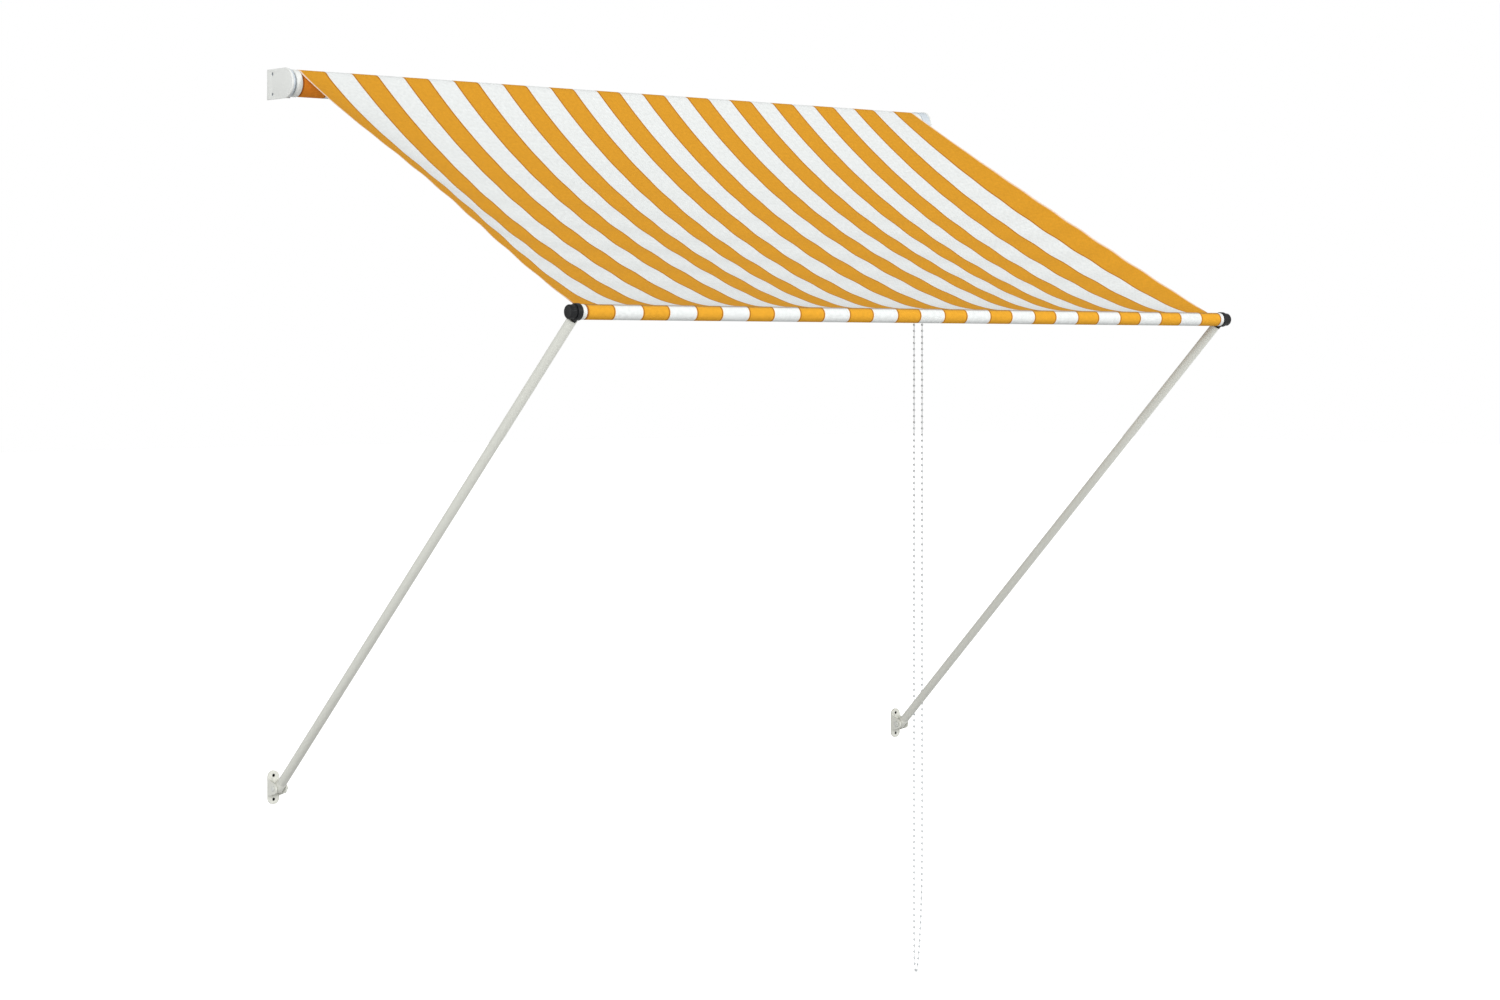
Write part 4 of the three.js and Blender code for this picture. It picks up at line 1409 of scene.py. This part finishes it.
@dataclass
class Arm:
    """One swinging arm: a coated tube, the foot in its wall bracket and the black eye at the bar."""

    side: Side
    tube_radius: float = 8 * MM
    tube_wall: float = 1.2 * MM
    tube_recess: float = 4 * MM
    tube_edge: float = 0.4 * MM
    neck: float = 14.5 * MM
    neck_half_width: float = 9 * MM
    neck_half_depth: float = 3.8 * MM
    eye_start: float = 8.3 * MM
    eye_radius: float = 13 * MM
    eye_edge: float = 0.9 * MM
    eye_bore: float = 6.2 * MM
    eye_round: float = 0.35 * MM
    gap: float = 0.3 * MM
    foot: float = 14 * MM
    foot_lip: float = 0.2 * MM
    foot_edge: float = 0.3 * MM

    @property
    def body(self) -> Body:
        """The body that this arm is."""
        return Body.LEFT_ARM if self.side is Side.LEFT else Body.RIGHT_ARM

    @property
    def pivot(self) -> Vector:
        """The middle of the lower pivot."""
        return Vector((self.side.at(ARM_OUTSET), ARM_PIVOT.y, ARM_PIVOT.z))

    @property
    def run(self) -> Vector:
        """The way from the pivot to the bar's axis."""
        return Vector((0, BAR_AXIS.y - ARM_PIVOT.y, BAR_AXIS.z - ARM_PIVOT.z))

    @property
    def tilt(self) -> float:
        """The turn about X that lays an upright piece along the arm."""
        return math.atan2(-self.run.y, self.run.z)

    def build(self) -> None:
        """Builds and dresses the arm's pieces."""
        self.tube()
        self.head()
        self.foot_piece()

    def tube(self) -> None:
        """Draws the tube and rolls its two ends in."""
        along = self.run.normalized()
        start, end = self.foot + self.gap, self.run.length - self.neck - self.gap
        middle = self.pivot + along * (start + end) / 2
        Bench.deselect()
        bpy.ops.mesh.primitive_cylinder_add(vertices=ROUND_SIDES, radius=self.tube_radius, depth=end - start,
                                            location=middle, rotation=(self.tilt, 0, 0))
        tube = Bench.named(f"{self.side.word}_tube")
        with Bench.editing(tube):
            Bench.pick(tube, lambda at: abs((at - middle).dot(along)) > (end - start) / 2 - MM, Element.FACES)
            bpy.ops.mesh.inset(thickness=self.tube_wall, use_individual=True)
            bpy.ops.mesh.extrude_region_shrink_fatten(
                TRANSFORM_OT_shrink_fatten={"value": -self.tube_recess})
        Bench.soften(tube, self.tube_edge)
        Bench.dress(tube, COATED_STEEL, self.body, "white_steel", [f"{self.side.word}_arm_tube"])

    def head(self) -> None:
        """Moulds the eye that turns on the bar's pin, with an oval neck down to the tube."""
        node = f"{self.side.word}_arm_head"
        way = self.side.value
        outer = self.side.span(f"{self.side.word}_end_knob")[0] - way * self.gap
        inner = self.side.at(self.eye_start)
        edge = self.eye_edge
        head = Bench.turned(f"{self.side.word}_eye", BAR_AXIS, [
            (inner, self.eye_radius - edge), (inner + way * edge, self.eye_radius),
            (outer - way * edge, self.eye_radius), (outer, self.eye_radius - edge)], FINE_SIDES)
        middle = Vector((inner + way * self.neck_half_depth, BAR_AXIS.y, BAR_AXIS.z))
        down = -self.run.normalized()
        Bench.deselect()
        bpy.ops.mesh.primitive_cylinder_add(vertices=ROUND_SIDES, radius=self.neck_half_width, depth=self.neck,
                                            location=middle + down * self.neck / 2,
                                            rotation=(self.tilt, 0, 0),
                                            scale=(self.neck_half_depth / self.neck_half_width, 1, 1))
        Bench.combine(head, Bench.named("neck"), "UNION")
        bore = Bench.turned("bore", BAR_AXIS, [(inner - way * edge, self.eye_bore),
                                               (outer + way * edge, self.eye_bore)])
        Bench.combine(head, bore, "DIFFERENCE")
        Bench.soften(head, self.eye_round)
        Bench.dress(head, BLACK_NYLON, self.body, "black_plastic", [node])

    def foot_piece(self) -> None:
        """Moulds the foot, as round as the tube above it and round-ended between the bracket's ears."""
        node = f"{self.side.word}_arm_foot"
        low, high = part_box(node)
        heading = math.atan2(self.run.z, self.run.y)
        foot = Bench.eye_plate(f"{self.side.word}_foot", self.pivot, self.tube_radius, heading,
                               self.foot + self.foot_lip, self.tube_radius, (low.x, high.x))
        Bench.deselect()
        bpy.ops.mesh.primitive_cylinder_add(vertices=FINE_SIDES, radius=self.tube_radius, depth=6 * self.foot,
                                            location=self.pivot, rotation=(self.tilt, 0, 0))
        Bench.combine(foot, Bench.named("round_stock"), "INTERSECT")
        Bench.soften(foot, self.foot_edge)
        Bench.dress(foot, COATED_STEEL, self.body, "white_plastic", [node])


@dataclass
class ArmBracket:
    """One arm's wall bracket: a round-ended plate, two ears, a bolt and its nut.

    The bolt's dome is a list of edges, each so far behind its face and with its share of the head's radius.
    """

    side: Side
    plate: float = 3 * MM
    plate_edge: float = 0.6 * MM
    ear: float = 2.5 * MM
    ear_root: float = 15 * MM
    nose: float = 9.5 * MM
    hole: float = 2.75 * MM
    hole_offset: float = 20 * MM
    screw_height: float = 2.0 * MM
    screw_gap: float = 0.1 * MM
    screw_rim: float = 0.6 * MM
    screw_dome: float = 0.25 * MM
    slot_size: tuple[float, float, float] = (0.7 * MM, 1.6 * MM, 3.2 * MM)
    slot_turn: float = 0.3
    bolt_radius: float = 3 * MM
    bolt_edge: float = 0.6 * MM
    bolt_head: float = 2.5 * MM
    bolt_dome: Edges = ((1.7 * MM, 1.0), (0.9 * MM, 0.85), (0.3 * MM, 0.55), (0.0, 0.2))
    bolt_sides: int = 40
    nut_bore: float = 3.2 * MM
    nut_edge: float = 0.5 * MM
    nut_chamfer: float = 0.86
    nut_proud: float = 1 * MM
    nut_sides: int = 6

    @property
    def middle(self) -> Vector:
        """The middle of the plate's back, on the wall."""
        return Vector((self.side.at(ARM_OUTSET), 0, ARM_PIVOT.z))

    def build(self) -> None:
        """Builds and dresses the bracket's pieces."""
        self.bracket()
        self.hole_shade_screws()
        self.bolt()
        self.nut()

    def bracket(self) -> None:
        """Presses the plate, welds on the ears, drills the screw holes and rounds the edges."""
        node = f"{self.side.word}_arm_bracket"
        low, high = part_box(node)
        half = (high.x - low.x) / 2
        straight = (high.z - low.z) / 2 - half
        middle = self.middle
        Bench.deselect()
        bpy.ops.mesh.primitive_circle_add(vertices=FINE_SIDES, radius=half, fill_type="NGON", location=middle,
                                          rotation=(math.pi / 2, 0, 0))
        bracket = Bench.named(f"{self.side.word}_bracket")
        with Bench.editing(bracket):
            for way in (1, -1):
                Bench.pick(bracket, lambda at, way=way: way * (at.z - middle.z) > -MERGE_DISTANCE,
                           Element.VERTICES)
                bpy.ops.transform.translate(value=(0, 0, way * straight))
            bpy.ops.mesh.select_all(action="SELECT")
            bpy.ops.mesh.extrude_region_move(TRANSFORM_OT_translate={"value": (0, -self.plate, 0)})
            Bench.outward()
        pivot = Vector((middle.x, ARM_PIVOT.y, ARM_PIVOT.z))
        for inner in (half - self.ear, -half):
            ear = Bench.eye_plate("ear", pivot, self.nose, 0.0, -pivot.y - self.plate / 2, self.ear_root,
                                  (middle.x + inner, middle.x + inner + self.ear))
            Bench.combine(bracket, ear, "UNION")
        for offset in (self.hole_offset, -self.hole_offset):
            Bench.deselect()
            bpy.ops.mesh.primitive_cylinder_add(vertices=SMALL_SIDES, radius=self.hole, depth=6 * self.plate,
                                                location=middle + Vector((0, 0, offset)),
                                                rotation=(math.pi / 2, 0, 0))
            Bench.combine(bracket, Bench.named("drill"), "DIFFERENCE")
        Bench.soften(bracket, self.plate_edge)
        Bench.dress(bracket, COATED_STEEL, Body.WALL, "white_steel", [node])

    def hole_shade_screws(self) -> None:
        """Sinks a blackened screw head in each of the plate's holes: painted shade for the holes' shadow."""
        for word, offset in (("upper", self.hole_offset), ("lower", -self.hole_offset)):
            centre = self.middle + Vector((0, -self.screw_height / 2, offset))
            Bench.deselect()
            bpy.ops.mesh.primitive_cylinder_add(vertices=SMALL_SIDES, radius=self.hole - self.screw_gap,
                                                depth=self.screw_height, location=centre,
                                                rotation=(math.pi / 2, 0, 0))
            screw = Bench.named(f"{self.side.word}_wall_screw_{word}")
            with Bench.editing(screw):
                Bench.pick(screw, lambda at: at.y < -self.screw_height + self.screw_gap, Element.FACES)
                bpy.ops.mesh.inset(thickness=self.screw_rim, depth=self.screw_dome)
            face = centre + Vector((0, -self.screw_height / 2, 0))
            Bench.cross_recess(screw, face, 1, self.slot_turn, self.slot_size)
            Bench.soften(screw, 0)
            Bench.dress(screw, HOLE_SHADE_STEEL, Body.WALL, "spring_steel")

    def bolt(self) -> None:
        """Turns the bolt with a low domed head on the outer ear."""
        node = f"{self.side.word}_pivot_bolt"
        head = half_height(node)
        tip, outer = self.side.span(node)
        way = self.side.value
        under = outer - way * self.bolt_head
        bolt = Bench.turned(f"{self.side.word}_bolt", Vector((0, ARM_PIVOT.y, ARM_PIVOT.z)), [
            (tip, self.bolt_radius - self.bolt_edge), (tip + way * self.bolt_edge, self.bolt_radius),
            (under, self.bolt_radius), (under, head),
            *((outer - way * behind, share * head) for behind, share in self.bolt_dome)], self.bolt_sides)
        Bench.soften(bolt, 0)
        Bench.dress(bolt, ENAMEL, Body.WALL, "zinc_steel", [node])

    def nut(self) -> None:
        """Cuts the hexagon nut and chamfers its corners."""
        node = f"{self.side.word}_pivot_nut"
        low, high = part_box(node)
        axis = (low + high) / 2
        corner = (high.y - low.y) / 2
        nut = Bench.turned(f"{self.side.word}_nut", axis, [
            (low.x, self.nut_chamfer * corner), (low.x + self.nut_edge, corner),
            (high.x - self.nut_edge, corner), (high.x, self.nut_chamfer * corner)], self.nut_sides)
        bore = Bench.turned("bore_tool", axis, [(low.x - self.nut_proud, self.nut_bore),
                                                (high.x + self.nut_proud, self.nut_bore)], SMALL_SIDES)
        Bench.combine(nut, bore, "DIFFERENCE")
        Bench.soften(nut, 0)
        Bench.dress(nut, ENAMEL, Body.WALL, "zinc_steel", [node])


@dataclass(frozen=True)
class Lamp:
    """One square soft lamp: where it hangs, its power in watts and its side in metres."""

    name: str
    place: tuple[float, float, float]
    power: float
    size: float

    def build(self) -> None:
        """Hangs the lamp and turns it to the awning."""
        light = bpy.data.lights.new(self.name, "AREA")
        light.energy = self.power
        light.size = self.size
        lamp = bpy.data.objects.new(self.name, light)
        lamp.location = self.place
        target = (ROLLER_AXIS + BAR_AXIS) / 2
        lamp.rotation_euler = (target - Vector(self.place)).to_track_quat("-Z", "Y").to_euler()
        bpy.context.scene.collection.objects.link(lamp)


@dataclass
class Studio:
    """A plain pale floor, soft light from both sides and the front, and a white surround."""

    floor_gap: float = 0.28
    floor_size: float = 80.0
    near: float = 0.7
    far: float = 1.8
    near_glow: float = 0.5
    ambient: float = 0.42
    floor_colour: str = "#C4C4C4"
    floor_roughness: float = 0.9
    lamps: tuple[Lamp, ...] = (
        Lamp("left_lamp", (-16.6, -10.4, 7.0), 1850.0, 8.8),
        Lamp("right_lamp", (5.9, -11.2, 4.1), 760.0, 5.5),
        Lamp("front_lamp", (-12.5, -15.3, 1.4), 700.0, 5.5),
    )

    def build(self) -> None:
        """Builds the floor, the lamps and the world."""
        self.floor()
        for lamp in self.lamps:
            lamp.build()
        self.world()
        bpy.context.scene.view_settings.view_transform = "Standard"

    def floor(self) -> None:
        """Lays the floor below the chain; to the eye it whitens outwards, and near by it keeps the shadow."""
        Bench.deselect()
        bpy.ops.mesh.primitive_plane_add(size=self.floor_size,
                                         location=(0, 0, CAD_BOX[0][2] - self.floor_gap))
        floor = Bench.named("studio_floor")
        paint = bpy.data.materials.new("floor_paint")
        paint.use_nodes = True
        tree = paint.node_tree
        shader = tree.nodes["Principled BSDF"]
        shader.inputs["Base Color"].default_value = linear(self.floor_colour)
        shader.inputs["Roughness"].default_value = self.floor_roughness
        place = add_node(tree, "ShaderNodeTexCoord").outputs["Object"]
        flat = add_node(tree, "ShaderNodeVectorMath", {"operation": "MULTIPLY"}, {1: (1, 1, 0)}, {0: place})
        radius = add_node(tree, "ShaderNodeVectorMath", {"operation": "LENGTH"}, links={0: flat.outputs[0]})
        glow = add_node(tree, "ShaderNodeMapRange", {"interpolation_type": "SMOOTHSTEP"},
                        {"From Min": self.near, "From Max": self.far, "To Min": self.near_glow,
                         "To Max": 1.0}, {"Value": radius.outputs["Value"]})
        white = add_node(tree, "ShaderNodeEmission", links={"Strength": glow.outputs["Result"]})
        lit = add_node(tree, "ShaderNodeAddShader", links={0: shader.outputs[0], 1: white.outputs[0]})
        shown = add_node(tree, "ShaderNodeMixShader",
                         links={0: self.seen(tree), 1: shader.outputs[0], 2: lit.outputs[0]})
        tree.links.new(shown.outputs[0], tree.nodes["Material Output"].inputs["Surface"])
        floor.data.materials.append(paint)

    @staticmethod
    def seen(tree: bpy.types.NodeTree) -> bpy.types.NodeSocket:
        """Tells the rays that show the surround from those that only light the awning.

        Args:
            tree: The floor's or the world's nodes.

        Returns:
            1 for a ray of the camera, of a reflection or through glass.
        """
        path = add_node(tree, "ShaderNodeLightPath")
        seen = path.outputs["Is Camera Ray"]
        for ray in ("Is Glossy Ray", "Is Transmission Ray"):
            seen = add_node(tree, "ShaderNodeMath", {"operation": "MAXIMUM"},
                            links={0: seen, 1: path.outputs[ray]}).outputs[0]
        return seen

    def world(self) -> None:
        """Makes the surround white to the eye and to reflections, and softer as light."""
        world = bpy.data.worlds.new("white_surround")
        bpy.context.scene.world = world
        world.use_nodes = True
        tree = world.node_tree
        soft = tree.nodes["Background"]
        soft.inputs["Color"].default_value = (1, 1, 1, 1)
        soft.inputs["Strength"].default_value = self.ambient
        white = add_node(tree, "ShaderNodeBackground", values={"Color": (1, 1, 1, 1), "Strength": 1.0})
        mixed = add_node(tree, "ShaderNodeMixShader",
                         links={0: self.seen(tree), 1: soft.outputs[0], 2: white.outputs[0]})
        tree.links.new(mixed.outputs[0], tree.nodes["World Output"].inputs["Surface"])


KEPT_NODES: dict[str, Finish] = {
    # The roller brackets take a copy of the coat painted cool grey: painted shade.
    "left_roller_bracket": PAINTED_SHADE_STEEL,
    "right_roller_bracket": PAINTED_SHADE_STEEL,
    "front_bar_tube": COATED_STEEL,
    "roller_tube": ZINC,
    "axle_pin": ZINC,
    "clutch_post": ZINC,
    "clutch_spring": SPRING_STEEL,
    "chain_sprocket": WHITE_ABS,
}


def dress_kept_nodes() -> None:
    """Gives the frame's own solids that stay in sight their finishes; the roller brackets' is painted shade."""
    for name, finish in KEPT_NODES.items():
        node = frame["nodes"][name]
        for slot in node.material_slots:
            slot.material = finish.material()
        LOG.info("%s keeps its solid in %s", name, finish.name)


def main() -> None:
    """Builds the awning's pieces in order."""
    logging.basicConfig(level=logging.INFO, format="%(name)s: %(message)s")
    PhotoCamera().build()
    BeadChain().build()
    Cloth().build()
    for side in Side:
        RollerEnd(side).build()
        BarEnd(side).build()
        Arm(side).build()
        ArmBracket(side).build()
    dress_kept_nodes()
    Studio().build()


if __name__ == "__main__":
    main()
